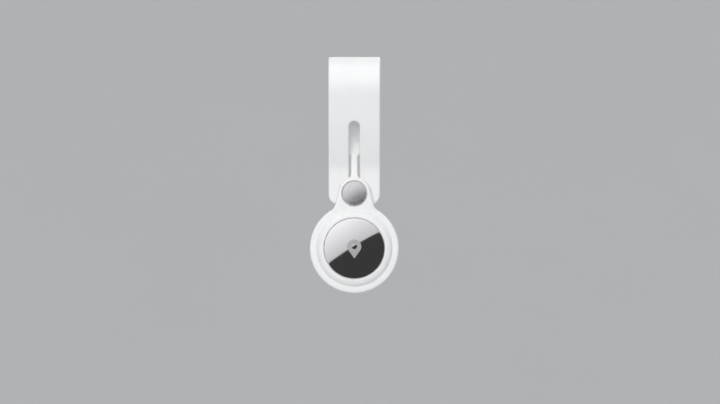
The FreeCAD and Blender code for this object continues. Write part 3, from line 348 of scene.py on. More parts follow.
def step_down(points, centre, radius, depth):
    """Depth of a round recess with a slightly rounded wall."""
    outside, wall = 0.1, 0.14
    distance = np.linalg.norm(points - centre, axis=1)
    return depth * ease((radius + outside - distance) / wall)


SNAP_POINT, STUD_POINT = np.array([0, V_SNAP]), np.array([0, V_STUD])
TAG_POINT = np.array([0, V_TAG])

# The round recesses of each face: centre, radius, depth.
FRONT_RECESSES = (
    (SNAP_POINT, CAP_RADIUS + CAP_GAP, CAP_DEPTH),
    (STUD_POINT, RIVET_RADIUS + FIT, STUD_DEPTH),
)
BACK_RECESSES = (
    (SNAP_POINT, SOCKET_RADIUS + FIT, SOCKET_DEPTH),
    (STUD_POINT, STUD_RADIUS + FIT, STUD_DEPTH),
)


def half_thick(points):
    """Half the moulding's thickness: the strap's, growing to the plate's at the collar."""
    run = 2.5
    share = ease((points[:, 1] - (V_SNAP - COLLAR_RADIUS - run)) / run)
    return THICK / 2 + (PLATE_THICK - THICK) / 2 * share


def crease(points, sharp, soft):
    """How softly the bulge meets the plate: sharp at the ring's foot, soft towards the collar."""
    offset = points - TAG_POINT
    up = -offset[:, 1] / np.maximum(np.linalg.norm(offset, axis=1), 1e-6)
    return sharp + (soft - sharp) * ease((up + 0.35) / 1.1)


def face_height(points, raised, creases, recesses):
    """Height of a face off the middle line: the strap or plate, the ring's bulge, and the recesses."""
    radius = np.linalg.norm(points - TAG_POINT, axis=1)
    flat = half_thick(points)
    near, far_below, reach = points[:, 1] > V_SNAP, -50, RING + 6
    both = smooth_max(flat, np.where(near, raised, far_below), crease(points, *creases))
    both = np.where(near & (radius < reach), both, flat)
    for recess in recesses:
        both -= step_down(points, *recess)
    return both


def outer_face(points):
    """Height of the face outside the loop, which is the holder's back."""
    radius = np.linalg.norm(points - TAG_POINT, axis=1)
    raised = bulge(radius, BACK_FOOT, BACK_LIP, -PLATE_BACK, BACK_LIP_H, BACK_BULGE) - PLATE_Y
    return face_height(points, raised, (0.15, 1.0), BACK_RECESSES)


def inner_face(points):
    """Height of the face inside the loop, which is the holder's front. A fine groove runs round the
    ring's foot."""
    radius = np.linalg.norm(points - TAG_POINT, axis=1)
    raised = bulge(radius, FOOT, LIP, PLATE_FRONT, LIP_HEIGHT, BULGE) + PLATE_Y
    both = face_height(points, raised, (0.12, 1.6), FRONT_RECESSES)
    fades, groove, groove_radius, groove_width = 0.45, 0.09, FOOT + 0.12, 0.13
    low = np.clip((fades - crease(points, 0, 1)) / fades, 0, 1)
    both -= groove * low * np.exp(-(((radius - groove_radius) / groove_width) ** 2))
    return -both


# ---------------------------------------------------------------- mesh of the loop


def grid_points(outline):
    """Points on a square grid that covers an outline, the same on its left and its right."""
    spacing = 0.8
    low, high = outline.min(0), outline.max(0)
    across = np.arange(0, high[0], spacing)
    across = np.concatenate([-across[:0:-1], across])
    up = np.arange(low[1], high[1], spacing)
    return np.stack(np.meshgrid(across, up), -1).reshape(-1, 2)


def far_from(points, loops, distance):
    """Keeps the points that are at least a distance from every point of the loops."""
    kept = points
    for loop in loops:
        for start in range(0, len(loop), 200):
            part = loop[start : start + 200]
            gap = np.linalg.norm(kept[:, None] - part[None], axis=2).min(1)
            kept = kept[gap > distance]
    return kept


def face_points(outer, holes, recesses, ring_radii):
    """Inner points of a face: fine circles round the tag and each recess, a grid elsewhere."""
    clear, least = 0.35, 0.12
    circles = [circle(TAG_POINT, r, ROUND_COUNT) for r in ring_radii]
    for centre, radius, _ in recesses:
        steps = (-0.35, -0.08, -0.02, 0.03, 0.07, 0.12, 0.4)
        circles += [circle(centre, radius + s, 96) for s in steps]
    grid = grid_points(outer)
    gap = np.linalg.norm(grid - TAG_POINT, axis=1)
    grid = grid[gap > max(ring_radii) + clear]
    for centre, radius, _ in recesses:
        gap = np.linalg.norm(grid - centre, axis=1)
        grid = grid[(gap < radius - 0.6) | (gap > radius + 0.7)]
    grid = far_from(grid, [outer, *holes], clear)
    points = np.concatenate([*circles, grid])
    keep = inside(points, outer)
    for hole in holes:
        keep &= ~inside(points, hole)
    return far_from(points[keep], [outer, *holes], least)


def triangles(loops, extra):
    """Triangles between closed lines and through extra points. The first line is the outside."""
    points = np.concatenate([*loops, extra])
    edges, start = [], 0
    for loop in loops:
        count = len(loop)
        edges += [(start + i, start + (i + 1) % count) for i in range(count)]
        start += count
    vectors = [Vector(p) for p in points.tolist()]
    found = delaunay_2d_cdt(vectors, edges, [], 0, 1e-7)
    if len(found[0]) != len(points):
        raise RuntimeError("the outline crosses itself")
    faces = np.array(found[2])
    centres = points[faces].mean(1)
    keep = inside(centres, loops[0])
    for hole in loops[1:]:
        keep &= ~inside(centres, hole)
    return points, faces[keep]


def edge_rings(outline, top, bottom, ridge):
    """Flat points and heights of the rounded edge between two faces, ring by ring from top to bottom."""
    steps = np.radians(np.linspace(90, 0, 7))[1:]
    rings = [(inward(outline, EDGE * (1 - math.cos(a))), top - EDGE * (1 - math.sin(a))) for a in steps]
    centre = (top + bottom) / 2
    if ridge:
        # The mould's parting line stands slightly proud, half way between the faces.
        for offset, height in ((0, 0.1), (-0.035, 0.05), (-0.035, -0.05), (0, -0.1)):
            rings.append((inward(outline, offset), centre + height))
    for a in steps[::-1]:
        rings.append((inward(outline, EDGE * (1 - math.cos(a))), bottom + EDGE * (1 - math.sin(a))))
    return rings


def arc_profile(start, end, radius, count):
    """Points on the shorter arc between two (radius, height) points, both ends included. A positive
    radius has its centre to the left of the way."""
    start, end = np.array(start, float), np.array(end, float)
    half = (end - start) / 2
    reach = np.linalg.norm(half)
    rise = math.sqrt(max(radius**2 - reach**2, 0))
    centre = start + half + math.copysign(rise, radius) * np.array([-half[1], half[0]]) / reach
    first = math.atan2(*(start - centre)[::-1])
    last = math.atan2(*(end - centre)[::-1])
    turn = (last - first + math.pi) % (2 * math.pi) - math.pi
    angles = first + turn * np.linspace(0, 1, count)
    return centre + abs(radius) * np.stack([np.cos(angles), np.sin(angles)], 1)


# The tag's side view: a front round, an edge round, and a crowned back that meets it at REACH.
FRONT_ROUND, MOUTH = 3.4, 12.9
ROUND_R, ROUND_H = TAG_RADIUS - FRONT_ROUND, TAG_HALF - FRONT_ROUND
DOME, REACH = 60.0, 14.2
EDGE_ROUND = (TAG_RADIUS - REACH) / (1 - REACH / DOME)
EDGE_R = TAG_RADIUS - EDGE_ROUND
CROWN_H = DOME - TAG_HALF
EDGE_H = CROWN_H - (DOME - EDGE_ROUND) * math.sqrt(1 - (REACH / DOME) ** 2)


def crown(radius, out):
    """Height of the tag's domed back at a radius, moved outwards."""
    return CROWN_H - math.sqrt((DOME + out) ** 2 - radius**2)


def tag_side(inner_front, inner_back, out=0.0):
    """(radius, height) along the tag's outline, moved outwards, from the front round to the crown."""
    front = ROUND_H + math.sqrt((FRONT_ROUND + out) ** 2 - (inner_front - ROUND_R) ** 2)
    lower = EDGE_R + (EDGE_ROUND + out) * REACH / DOME
    wide = TAG_RADIUS + out
    turn, end = (lower, crown(lower, out)), (inner_back, crown(inner_back, out))
    return np.concatenate(
        [
            arc_profile((inner_front, front), (wide, ROUND_H), -(FRONT_ROUND + out), 24),
            arc_profile((wide, EDGE_H), turn, -(EDGE_ROUND + out), 18),
            arc_profile(turn, end, -(DOME + out), 12)[1:],
        ]
    )


def seat_rings():
    """(radius, height) inside the ring, from the back lip's brink round the seat to the front lip's."""
    seat = tag_side(LIP, BACK_LIP, SEAT_GAP)[::-1]
    nick, back_brink, front_brink = 0.04, 0.14, 0.13
    back = [(BACK_LIP + nick, -BACK_LIP_H + nick), (BACK_LIP, -BACK_LIP_H + back_brink)]
    front = [(LIP, LIP_HEIGHT - front_brink), (LIP + nick, LIP_HEIGHT - nick)]
    return np.concatenate([back, seat, front]), BACK_LIP + back_brink, LIP + front_brink


def build_loop():
    """The whole moulding in one mesh: vertices, faces, and each vertex's distance along."""
    outline, slot = loop_outline(), slot_outline()
    seat, back_brink, front_brink = seat_rings()
    # Radii of the circles of points round the tag, close together where a face turns sharply.
    radii = [13.35, 13.6, 13.9, 14.2, 14.5, 14.8, 15.05, 15.3, 15.5, 15.68, 15.82, 15.93, 16.02, 16.1]
    radii += [16.2, 16.3, 16.45, 16.65, 16.9, 17.2, 17.6]
    back_radii = [13.8, 14.1, 14.5, 14.9, 15.3, 15.6, 15.9, 16.1, 16.3, 16.45, 16.57, 16.67, 16.8, 17.0]
    back_radii += [17.3, 17.65]
    cut_line, cut_slot = inward(outline, EDGE), inward(slot, EDGE)
    vertices, faces, ways = [], [], []
    total = 0

    def add(flat, height):
        """Adds points, and gives the number of the first."""
        nonlocal total
        vertices.append(place(flat, height))
        ways.append(flat[:, 1])
        total += len(flat)
        return total - len(flat)

    def join(first, second, size):
        """Faces between two closed lines of the same size."""
        for i in range(size):
            j = (i + 1) % size
            faces.append((first + i, first + j, second + j, second + i))

    starts = {}
    for name, face, brink, recesses, ring_radii, flip in (
        ("outer", outer_face, back_brink, BACK_RECESSES, back_radii, False),
        ("inner", inner_face, front_brink, FRONT_RECESSES, radii, True),
    ):
        hole = circle(TAG_POINT, brink, ROUND_COUNT)
        extra = face_points(cut_line, [cut_slot, hole], recesses, ring_radii)
        flat, found = triangles([cut_line, cut_slot, hole], extra)
        start = add(flat, face(flat))
        starts[name] = start
        turned = found[:, ::-1] if flip else found
        faces.extend(tuple(int(v) + start for v in f) for f in turned)
    for line, offset, ridge in ((outline, 0, True), (slot, len(outline), False)):
        top, bottom = outer_face(inward(line, EDGE)), inner_face(inward(line, EDGE))
        before = starts["outer"] + offset
        for flat, height in edge_rings(line, top, bottom, ridge)[:-1]:
            ring = add(flat, height)
            join(ring, before, len(line))
            before = ring
        join(starts["inner"] + offset, before, len(line))
    offset = len(outline) + len(slot)
    before = starts["outer"] + offset
    for radius, height in seat:
        ring = add(circle(TAG_POINT, radius, ROUND_COUNT), np.full(ROUND_COUNT, -height - PLATE_Y))
        join(ring, before, ROUND_COUNT)
        before = ring
    join(starts["inner"] + offset, before, ROUND_COUNT)
    return np.concatenate(vertices), faces, np.concatenate(ways)


def new_object(name, vertices, faces, smooth=True):
    """A mesh object in the row frame."""
    mesh = bpy.data.meshes.new(name)
    mesh.from_pydata([tuple(v) for v in vertices], [], [tuple(f) for f in faces])
    mesh.validate()
    mesh.update()
    if smooth:
        mesh.polygons.foreach_set("use_smooth", [True] * len(mesh.polygons))
    made = bpy.data.objects.new(name, mesh)
    bpy.context.scene.collection.objects.link(made)
    return made


def split_loop():
    """The moulding as two objects that meet at the neck's root: the loop, and the neck with the ring."""
    vertices, faces, ways = build_loop()
    made = []
    for name, beyond in (("loop", False), ("neck_and_ring", True)):
        chosen = [f for f in faces if (min(ways[list(f)]) >= V_SEAM) == beyond]
        used = sorted(set(v for f in chosen for v in f))
        number = {v: i for i, v in enumerate(used)}
        made.append(new_object(name, vertices[used], [tuple(number[v] for v in f) for f in chosen]))
    return made


loop, neck_and_ring = split_loop()


# ---------------------------------------------------------------- turned pieces


def lathe(name, profile, centre_z, segments=256):
    """A piece turned about a front-to-back axis from closed (radius, height) points. Heights point to
    the front."""
    angles = np.linspace(0, 2 * math.pi, segments, endpoint=False)
    profile = np.array(profile, float)
    on_axis = profile[:, 0] < 1e-6
    vertices, index = [], []
    for (radius, height), single in zip(profile, on_axis):
        if single:
            index.append([len(vertices)] * segments)
            vertices.append((0, -height, centre_z))
            continue
        index.append(list(range(len(vertices), len(vertices) + segments)))
        x, z = radius * np.cos(angles), centre_z + radius * np.sin(angles)
        vertices += list(zip(x, np.full(segments, -height), z))
    faces = []
    count = len(profile)
    for i in range(count):
        a, b = index[i], index[(i + 1) % count]
        if on_axis[i] and on_axis[(i + 1) % count]:
            continue
        for k in range(segments):
            n = (k + 1) % segments
            face = [a[k], a[n], b[n], b[k]]
            faces.append([v for j, v in enumerate(face) if v != face[j - 1]])
    return new_object(name, np.array(vertices) * MM, faces)


def sharpen(piece, degrees=35):
    """Smooth shading with the edges above an angle kept sharp."""
    piece.data.polygons.foreach_set("use_smooth", [True] * len(piece.data.polygons))
    piece.data.set_sharp_from_angle(angle=math.radians(degrees))


def snap_cap():
    """The snap's visible cap: a crowned face, a rounded rim, and the post behind it."""
    low, high = box_mm("snap_cap")
    crown_h, foot = -low[1], -high[1]
    rim_h, brink, post, nick = 0.95, 0.35, 1.5, 0.08
    seat = PLATE_FRONT - CAP_DEPTH
    rim = seat + rim_h
    inner = CAP_RADIUS - brink
    rise = crown_h - rim
    face = arc_profile((inner, rim), (0, crown_h), inner**2 / (2 * rise) + rise / 2, 20)
    edge = arc_profile((CAP_RADIUS, rim - brink), (inner, rim), brink, 10)
    profile = [(0, foot), (post, foot), (post, seat), (CAP_RADIUS - nick, seat), (CAP_RADIUS, seat + nick)]
    made = lathe("snap_cap_seen", [*profile, *edge, *face[1:]], SNAP_Z)
    sharpen(made)
    return made


def snap_rivet():
    """The rivet behind the tail: a slightly domed head and its shank."""
    low, high = box_mm("snap_rivet")
    back, tip = -high[1], -low[1]
    rise, side, head, shank = 0.1, 0.35, 0.45, 0.9
    flat = RIVET_RADIUS - 0.5
    seat = back + head
    face = arc_profile((0, back), (flat, back + rise), 60, 10)
    edge = arc_profile((flat, back + rise), (RIVET_RADIUS, back + side), 0.6, 8)
    profile = [*face, *edge[1:], (RIVET_RADIUS, seat), (shank, seat), (shank, tip), (0, tip)]
    made = lathe("snap_rivet_seen", profile, SNAP_Z)
    sharpen(made)
    return made


def shell():
    """The white shell, closed round its mouth, wall and ledge."""
    wall, ledge, ledge_h, cavity, bow = 0.8, 12.0, -1.7, 14.3, 2.5
    outer = tag_side(MOUTH, 0)
    inner = arc_profile((0, crown(0, -wall)), (ledge, crown(ledge, -wall)), DOME - wall, 24)
    top = ROUND_H + math.sqrt(bow**2 - (cavity - ROUND_R) ** 2)
    mouth = ROUND_H + math.sqrt(bow**2 - (MOUTH - ROUND_R) ** 2)
    inside_round = arc_profile((cavity, top), (MOUTH, mouth), bow, 10)
    profile = [*outer, *inner, (ledge, ledge_h), (cavity, ledge_h), *inside_round]
    made = lathe("shell_seen", profile, TAG_Z)
    sharpen(made)
    return made


def cover():
    """The steel cover: a slightly domed face, a rounded edge, the skirt, and three lugs."""
    radius, skirt = COVER_RADIUS, -box_mm("battery_cover")[1][1]
    edge, sheet, fall = 0.2, 0.4, 0.2
    face_r, edge_h = radius - edge, TAG_HALF - fall
    bow = face_r**2 / (2 * fall) + fall / 2
    rim = arc_profile((radius, edge_h - edge), (face_r, edge_h), edge, 14)
    face = arc_profile((face_r, edge_h), (0, TAG_HALF), bow, 40)
    inner = radius - sheet
    back = arc_profile((0, TAG_HALF - sheet), (inner, edge_h - sheet), -bow, 20)
    profile = [*back, (inner, skirt), (inner + 0.05, skirt), (radius, skirt)]
    made = lathe("cover_seen", [*profile, *rim, *face[1:]], TAG_Z, segments=384)
    sharpen(made, 30)
    lugs = []
    tip, root, under, top = 11.25, inner + 0.1, 1.9, 2.5
    half_turn, cuts = 6, 9
    for turn in range(3):
        points = []
        for degrees in np.linspace(-half_turn, half_turn, cuts):
            a = math.radians(degrees + 120 * turn)
            for r, h in ((tip, under), (root, under), (root, top), (tip, top)):
                points.append((r * math.cos(a), -h, TAG_Z + r * math.sin(a)))
        last = 4 * cuts - 1
        faces = [(0, 1, 2, 3), (last, last - 1, last - 2, last - 3)]
        for k in range(cuts - 1):
            for j in range(4):
                n = (j + 1) % 4
                faces.append((4 * k + j, 4 * k + 4 + j, 4 * k + 4 + n, 4 * k + n))
        lug = new_object(f"cover_lug_{turn}", np.array(points) * MM, faces, smooth=False)
        lugs.append(lug)
    return made, lugs


cap, rivet, shell_seen = snap_cap(), snap_rivet(), shell()
cover_seen, cover_lugs = cover()


# ---------------------------------------------------------------- materials


def node_math(tree, operation, a, b):
    """A math node's result. Either side may be a socket or a number."""
    made = tree.nodes.new("ShaderNodeMath")
    made.operation = operation
    for socket, given in zip(made.inputs, (a, b)):
        if isinstance(given, (int, float)):
            socket.default_value = given
        else:
            tree.links.new(given, socket)
    return made.outputs[0]


class Look:
    """A procedural material built up step by step on one Principled shader."""

    def __init__(self, name, colour, rough, metal=0.0, **sockets):
        self.material = bpy.data.materials.new(name)
        self.material.use_nodes = True
        self.tree = self.material.node_tree
        self.shader = self.tree.nodes["Principled BSDF"]
        self.shader.inputs["Base Color"].default_value = (*colour, 1)
        self.shader.inputs["Roughness"].default_value = rough
        self.shader.inputs["Metallic"].default_value = metal
        for key, number in sockets.items():
            self.shader.inputs[key.replace("_", " ")].default_value = number
        self.coordinates = self.tree.nodes.new("ShaderNodeTexCoord").outputs["Object"]

    def node(self, kind, **settings):
        """A new node of a kind, with its settings."""
        made = self.tree.nodes.new(kind)
        for key, setting in settings.items():
            setattr(made, key, setting)
        return made

    def link(self, source, target):
        self.tree.links.new(source, target)

    def math(self, operation, a, b=0.0):
        """A math node in this material."""
        return node_math(self.tree, operation, a, b)

    def noise(self, size_mm, detail, stretch=(1, 1, 1)):
        """Noise whose features are about that size, with its coordinates stretched."""
        scaled = self.node("ShaderNodeMapping", vector_type="POINT")
        scaled.inputs["Scale"].default_value = stretch
        self.link(self.coordinates, scaled.inputs["Vector"])
        made = self.node("ShaderNodeTexNoise")
        made.inputs["Scale"].default_value = 1 / (size_mm * MM)
        made.inputs["Detail"].default_value = detail
        self.link(scaled.outputs[0], made.inputs["Vector"])
        return made.outputs["Fac"]

    def ranged(self, source, low, high, a, b):
        """A value taken from one range to another, and held at its ends."""
        made = self.node("ShaderNodeMapRange", clamp=True)
        for socket, given in zip(made.inputs[1:5], (low, high, a, b)):
            socket.default_value = given
        self.link(source, made.inputs[0])
        return made.outputs[0]

    def blend(self, share, a, b):
        """A colour between two, by a share. Either may be a socket."""
        made = self.node("ShaderNodeMix", data_type="RGBA")
        self.link(share, made.inputs[0])
        for socket, given in zip(made.inputs[6:8], (a, b)):
            if isinstance(given, tuple):
                socket.default_value = (*given, 1)
            else:
                self.link(given, socket)
        return made.outputs[2]

    def colour(self, source):
        self.link(source, self.shader.inputs["Base Color"])

    def rough(self, source):
        self.link(source, self.shader.inputs["Roughness"])

    def bump(self, source, depth_mm, strength):
        """Surface relief from a value, on top of any bump that is already there."""
        made = self.node("ShaderNodeBump")
        made.inputs["Distance"].default_value = depth_mm * MM
        made.inputs["Strength"].default_value = strength
        self.link(source, made.inputs["Height"])
        if self.shader.inputs["Normal"].is_linked:
            self.link(self.shader.inputs["Normal"].links[0].from_socket, made.inputs["Normal"])
        self.link(made.outputs["Normal"], self.shader.inputs["Normal"])


def polyurethane():
    """Soft white moulding: light sinks in slightly, and the surface is matte with a fine grain."""
    look = Look("polyurethane", (0.83, 0.83, 0.825), 0.48)
    look.shader.inputs["Subsurface Weight"].default_value = 0.12
    look.shader.inputs["Subsurface Radius"].default_value = (0.0012, 0.0011, 0.001)
    look.shader.inputs["Subsurface Scale"].default_value = 1.0
    look.colour(look.blend(look.noise(9, 2), (0.80, 0.80, 0.795), (0.85, 0.85, 0.845)))
    look.rough(look.ranged(look.noise(2.5, 3), 0.3, 0.7, 0.42, 0.54))
    look.bump(look.noise(0.16, 3), 0.006, 0.6)
    look.bump(look.noise(4, 2), 0.02, 0.5)
    return look.material


def polished_steel():
    """Mirror steel with fine wiping marks, and a plain map pin etched in the middle."""
    look = Look("polished_steel", (0.86, 0.86, 0.87), 0.05, 1.0)
    split = look.node("ShaderNodeSeparateXYZ")
    look.link(look.coordinates, split.inputs[0])
    x = look.math("MULTIPLY", split.outputs[0], 1 / MM)
    z = look.math("SUBTRACT", look.math("MULTIPLY", split.outputs[2], 1 / MM), TAG_Z)
    head_z, head_r, tip_z, hole_r, soft, face_y = 0.85, 2.95, -4.25, 1.15, 0.03, -3.5
    lean = math.asin(head_r / (head_z - tip_z))
    up = look.math("SUBTRACT", z, head_z)
    squares = look.math("ADD", look.math("MULTIPLY", x, x), look.math("MULTIPLY", up, up))
    distance = look.math("SQRT", squares)
    head = look.ranged(distance, head_r - soft, head_r + soft, 1, 0)
    hole = look.ranged(distance, hole_r - soft, hole_r + soft, 0, 1)
    width = look.math("MULTIPLY", look.math("SUBTRACT", z, tip_z), math.tan(lean))
    cone = look.ranged(look.math("SUBTRACT", width, look.math("ABSOLUTE", x)), -soft, soft, 0, 1)
    below = look.math("LESS_THAN", z, head_z - head_r * math.sin(lean))
    on_face = look.math("LESS_THAN", split.outputs[1], face_y * MM)
    pin = look.math("MAXIMUM", head, look.math("MULTIPLY", cone, below))
    pin = look.math("MULTIPLY", look.math("MULTIPLY", pin, hole), on_face)
    smear = look.ranged(look.noise(5, 3, (1, 1, 0.35)), 0.35, 0.75, 0.012, 0.035)
    etched = look.ranged(look.noise(0.08, 2), 0.3, 0.7, 0.3, 0.42)
    mixed = look.node("ShaderNodeMix", data_type="FLOAT")
    look.link(pin, mixed.inputs[0])
    look.link(smear, mixed.inputs[2])
    look.link(etched, mixed.inputs[3])
    look.rough(mixed.outputs[0])
    look.colour(look.blend(pin, (0.86, 0.86, 0.87), (0.64, 0.64, 0.65)))
    look.bump(look.noise(0.05, 2, (1, 1, 0.1)), 0.0004, 0.25)
    look.bump(pin, 0.01, -0.6)
    return look.material


def satin_steel(name="satin_steel", colour=(0.68, 0.68, 0.69), rough=0.28):
    """Bead-blasted steel with a fine even grain."""
    look = Look(name, colour, rough, 1.0)
    look.rough(look.ranged(look.noise(1.4, 3), 0.3, 0.7, rough - 0.03, rough + 0.05))
    darker = tuple(c * 0.9 for c in colour)
    look.colour(look.blend(look.noise(3, 3), darker, colour))
    look.bump(look.noise(0.1, 3), 0.005, 0.6)
    return look.material


def moulded(name, colour, rough, grain=0.12, depth=0.004, spread=0.06, **sockets):
    """Moulded plastic: even colour with a slight cloudiness and a fine grain."""
    look = Look(name, colour, rough, **sockets)
    darker = tuple(c * (1 - spread) for c in colour)
    look.colour(look.blend(look.noise(3.5, 3), darker, colour))
    look.rough(look.ranged(look.noise(1.6, 3), 0.3, 0.7, max(rough - 0.05, 0.02), rough + 0.05))
    look.bump(look.noise(grain, 2), depth, 0.5)
    return look.material


def plated(name, colour, rough):
    """Plated metal with a fine rolled grain and faint stains."""
    look = Look(name, colour, rough, 1.0)
    darker = tuple(c * 0.8 for c in colour)
    look.colour(look.blend(look.ranged(look.noise(1.8, 4), 0.4, 0.75, 0, 1), colour, darker))
    look.rough(look.ranged(look.noise(0.3, 3, (0.2, 1, 2)), 0.3, 0.7, rough - 0.05, rough + 0.1))
    look.bump(look.noise(0.09, 3), 0.003, 0.4)
    return look.material


def foam():
    """Black closed-cell foam, with painted shade darkening each cell's hollow middle."""
    look = Look("black_foam", (0.02, 0.02, 0.02), 0.9)
    cells = look.node("ShaderNodeTexVoronoi")
    cells.inputs["Scale"].default_value = 1 / (0.16 * MM)
    look.link(look.coordinates, cells.inputs["Vector"])
    # The colour follows the cells' relief: painted shade, darker in each cell's hollow middle.
    look.colour(look.blend(cells.outputs["Distance"], (0.012, 0.012, 0.012), (0.05, 0.05, 0.05)))
    look.bump(cells.outputs["Distance"], 0.05, 0.7)
    return look.material


def circuit_board():
    """Solder mask over copper tracks."""
    look = Look("circuit_board", (0.01, 0.05, 0.03), 0.35)
    bricks = look.node("ShaderNodeTexBrick")
    bricks.inputs["Scale"].default_value = 1 / (2.2 * MM)
    bricks.inputs["Mortar Size"].default_value = 0.04
    look.link(look.coordinates, bricks.inputs["Vector"])
    tracks = bricks.outputs["Fac"]
    look.colour(look.blend(tracks, (0.008, 0.05, 0.03), (0.03, 0.13, 0.07)))
    look.bump(tracks, 0.02, 0.5)
    return look.material


def enamelled_copper():
    """Copper wire wound in fine turns, with painted shade darkening the grooves between the turns and
    painted highlight lightening their crests.
    """
    look = Look("copper_wire", (0.6, 0.24, 0.1), 0.3, 1.0)
    wave = look.node("ShaderNodeTexWave", bands_direction="Y")
    wave.inputs["Scale"].default_value = 1 / (0.6 * MM)
    look.link(look.coordinates, wave.inputs["Vector"])
    # The colour follows the turns' relief: painted shade in the grooves, painted highlight on the crests.
    look.colour(look.blend(wave.outputs["Fac"], (0.3, 0.1, 0.04), (0.7, 0.3, 0.12)))
    look.bump(wave.outputs["Fac"], 0.04, 0.8)
    return look.material


MATERIALS = {
    "polyurethane": polyurethane(),
    "snap_steel": satin_steel(),
    "spring_steel": satin_steel("spring_steel", (0.5, 0.5, 0.52), 0.35),
    "white_shell": moulded("white_shell", (0.82, 0.82, 0.82), 0.12, 0.3, 0.002, 0.02, Coat_Weight=0.3),
    "polished_steel": polished_steel(),
    "black_foam": foam(),
    "seal_rubber": moulded("seal_rubber", (0.03, 0.03, 0.03), 0.6, 0.1, 0.008),
    "cell_steel": plated("cell_steel", (0.66, 0.66, 0.66), 0.28),
    "cell_plastic": moulded("cell_plastic", (0.05, 0.05, 0.09), 0.4),
    "cathode_powder": moulded("cathode_powder", (0.03, 0.03, 0.03), 0.85, 0.08, 0.02),
    "separator_film": moulded("separator_film", (0.75, 0.75, 0.72), 0.8, 0.08, 0.02),
    "lithium": plated("lithium", (0.6, 0.6, 0.64), 0.4),
    "tray_plastic": moulded("tray_plastic", (0.03, 0.03, 0.032), 0.45),
    "adhesive": moulded("adhesive", (0.5, 0.48, 0.42), 0.4, 0.2, 0.01),
    "gold_plate": plated("gold_plate", (0.83, 0.6, 0.25), 0.22),
    "board": circuit_board(),
    "chip_black": moulded("chip_black", (0.015, 0.015, 0.016), 0.45, 0.06, 0.004),
    "can_metal": plated("can_metal", (0.6, 0.6, 0.6), 0.3),
    "ceramic": moulded("ceramic", (0.3, 0.2, 0.11), 0.35),
    "magnet": plated("magnet", (0.45, 0.45, 0.47), 0.25),
    "copper": enamelled_copper(),
    "carrier_plastic": moulded("carrier_plastic", (0.65, 0.65, 0.62), 0.5),
}


# ---------------------------------------------------------------- pieces on the frame


def dress(piece, slot):
    """Gives a piece the material of a slot of the record."""
    piece.data.materials.clear()
    piece.data.materials.append(MATERIALS[slot])


slots = {entry["node"]: entry["material_slot"] for entry in record["subparts"]}
replaced = {"loop_strap", "holder", "snap_cap", "snap_rivet", "housing_shell", "battery_cover"}
for name, node in nodes.items():
    if name not in replaced:
        sharpen(node, 30)
        node.data.materials.clear()
        node.data.materials.append(MATERIALS[slots[name]])

for piece, slot, body, node in (
    (loop, "polyurethane", "strap", "loop_strap"),
    (neck_and_ring, "polyurethane", None, "holder"),
    (cap, "snap_steel", "holder", "snap_cap"),
    (rivet, "snap_steel", "strap", "snap_rivet"),
    (shell_seen, "white_shell", "tag", "housing_shell"),
    (cover_seen, "polished_steel", "cover", "battery_cover"),
):
    dress(piece, slot)
    if body:
        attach(piece, body)
    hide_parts(node)
for lug in cover_lugs:
    dress(lug, "polished_steel")
    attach(lug, "cover")

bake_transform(neck_and_ring)


# ---------------------------------------------------------------- stage, light and camera


def emitter(name, strength):
    """A white glowing material, with its node tree and its light node."""
    made = bpy.data.materials.new(name)
    made.use_nodes = True
    tree = made.node_tree
    tree.nodes.clear()
    light = tree.nodes.new("ShaderNodeEmission")
    light.inputs["Color"].default_value = (1, 1, 1, 1)
    light.inputs["Strength"].default_value = strength
    out = tree.nodes.new("ShaderNodeOutputMaterial")
    tree.links.new(light.outputs[0], out.inputs["Surface"])
    return made, tree, light


def backdrop():
    """A pale round floor that curves up into a low wall all round, so it is plain from every side."""
    floor_z, flat, bend, count = -0.50, 1.6, 1.4, 128
    line = [(0.001, floor_z)]
    line += [(r, floor_z) for r in np.linspace(0.2, flat, 8)]
    for a in np.radians(np.linspace(-90, -15, 32))[1:]:
        line.append((flat + bend * math.cos(a), floor_z + bend + bend * math.sin(a)))
    turns = np.linspace(0, 2 * math.pi, count, endpoint=False)
    vertices = [(r * math.cos(a), r * math.sin(a), z) for r, z in line for a in turns]
    faces = []
    for i in range(len(line) - 1):
        for k in range(count):
            n = (k + 1) % count
            faces.append((i * count + k, i * count + n, (i + 1) * count + n, (i + 1) * count + k))
    faces.append(tuple(range(count)))
    made = new_object("backdrop", vertices, faces)
    look = Look("backdrop", (0.79, 0.79, 0.795), 0.8)
    look.colour(look.blend(look.noise(120, 2), (0.78, 0.78, 0.785), (0.80, 0.80, 0.805)))
    made.data.materials.append(look.material)


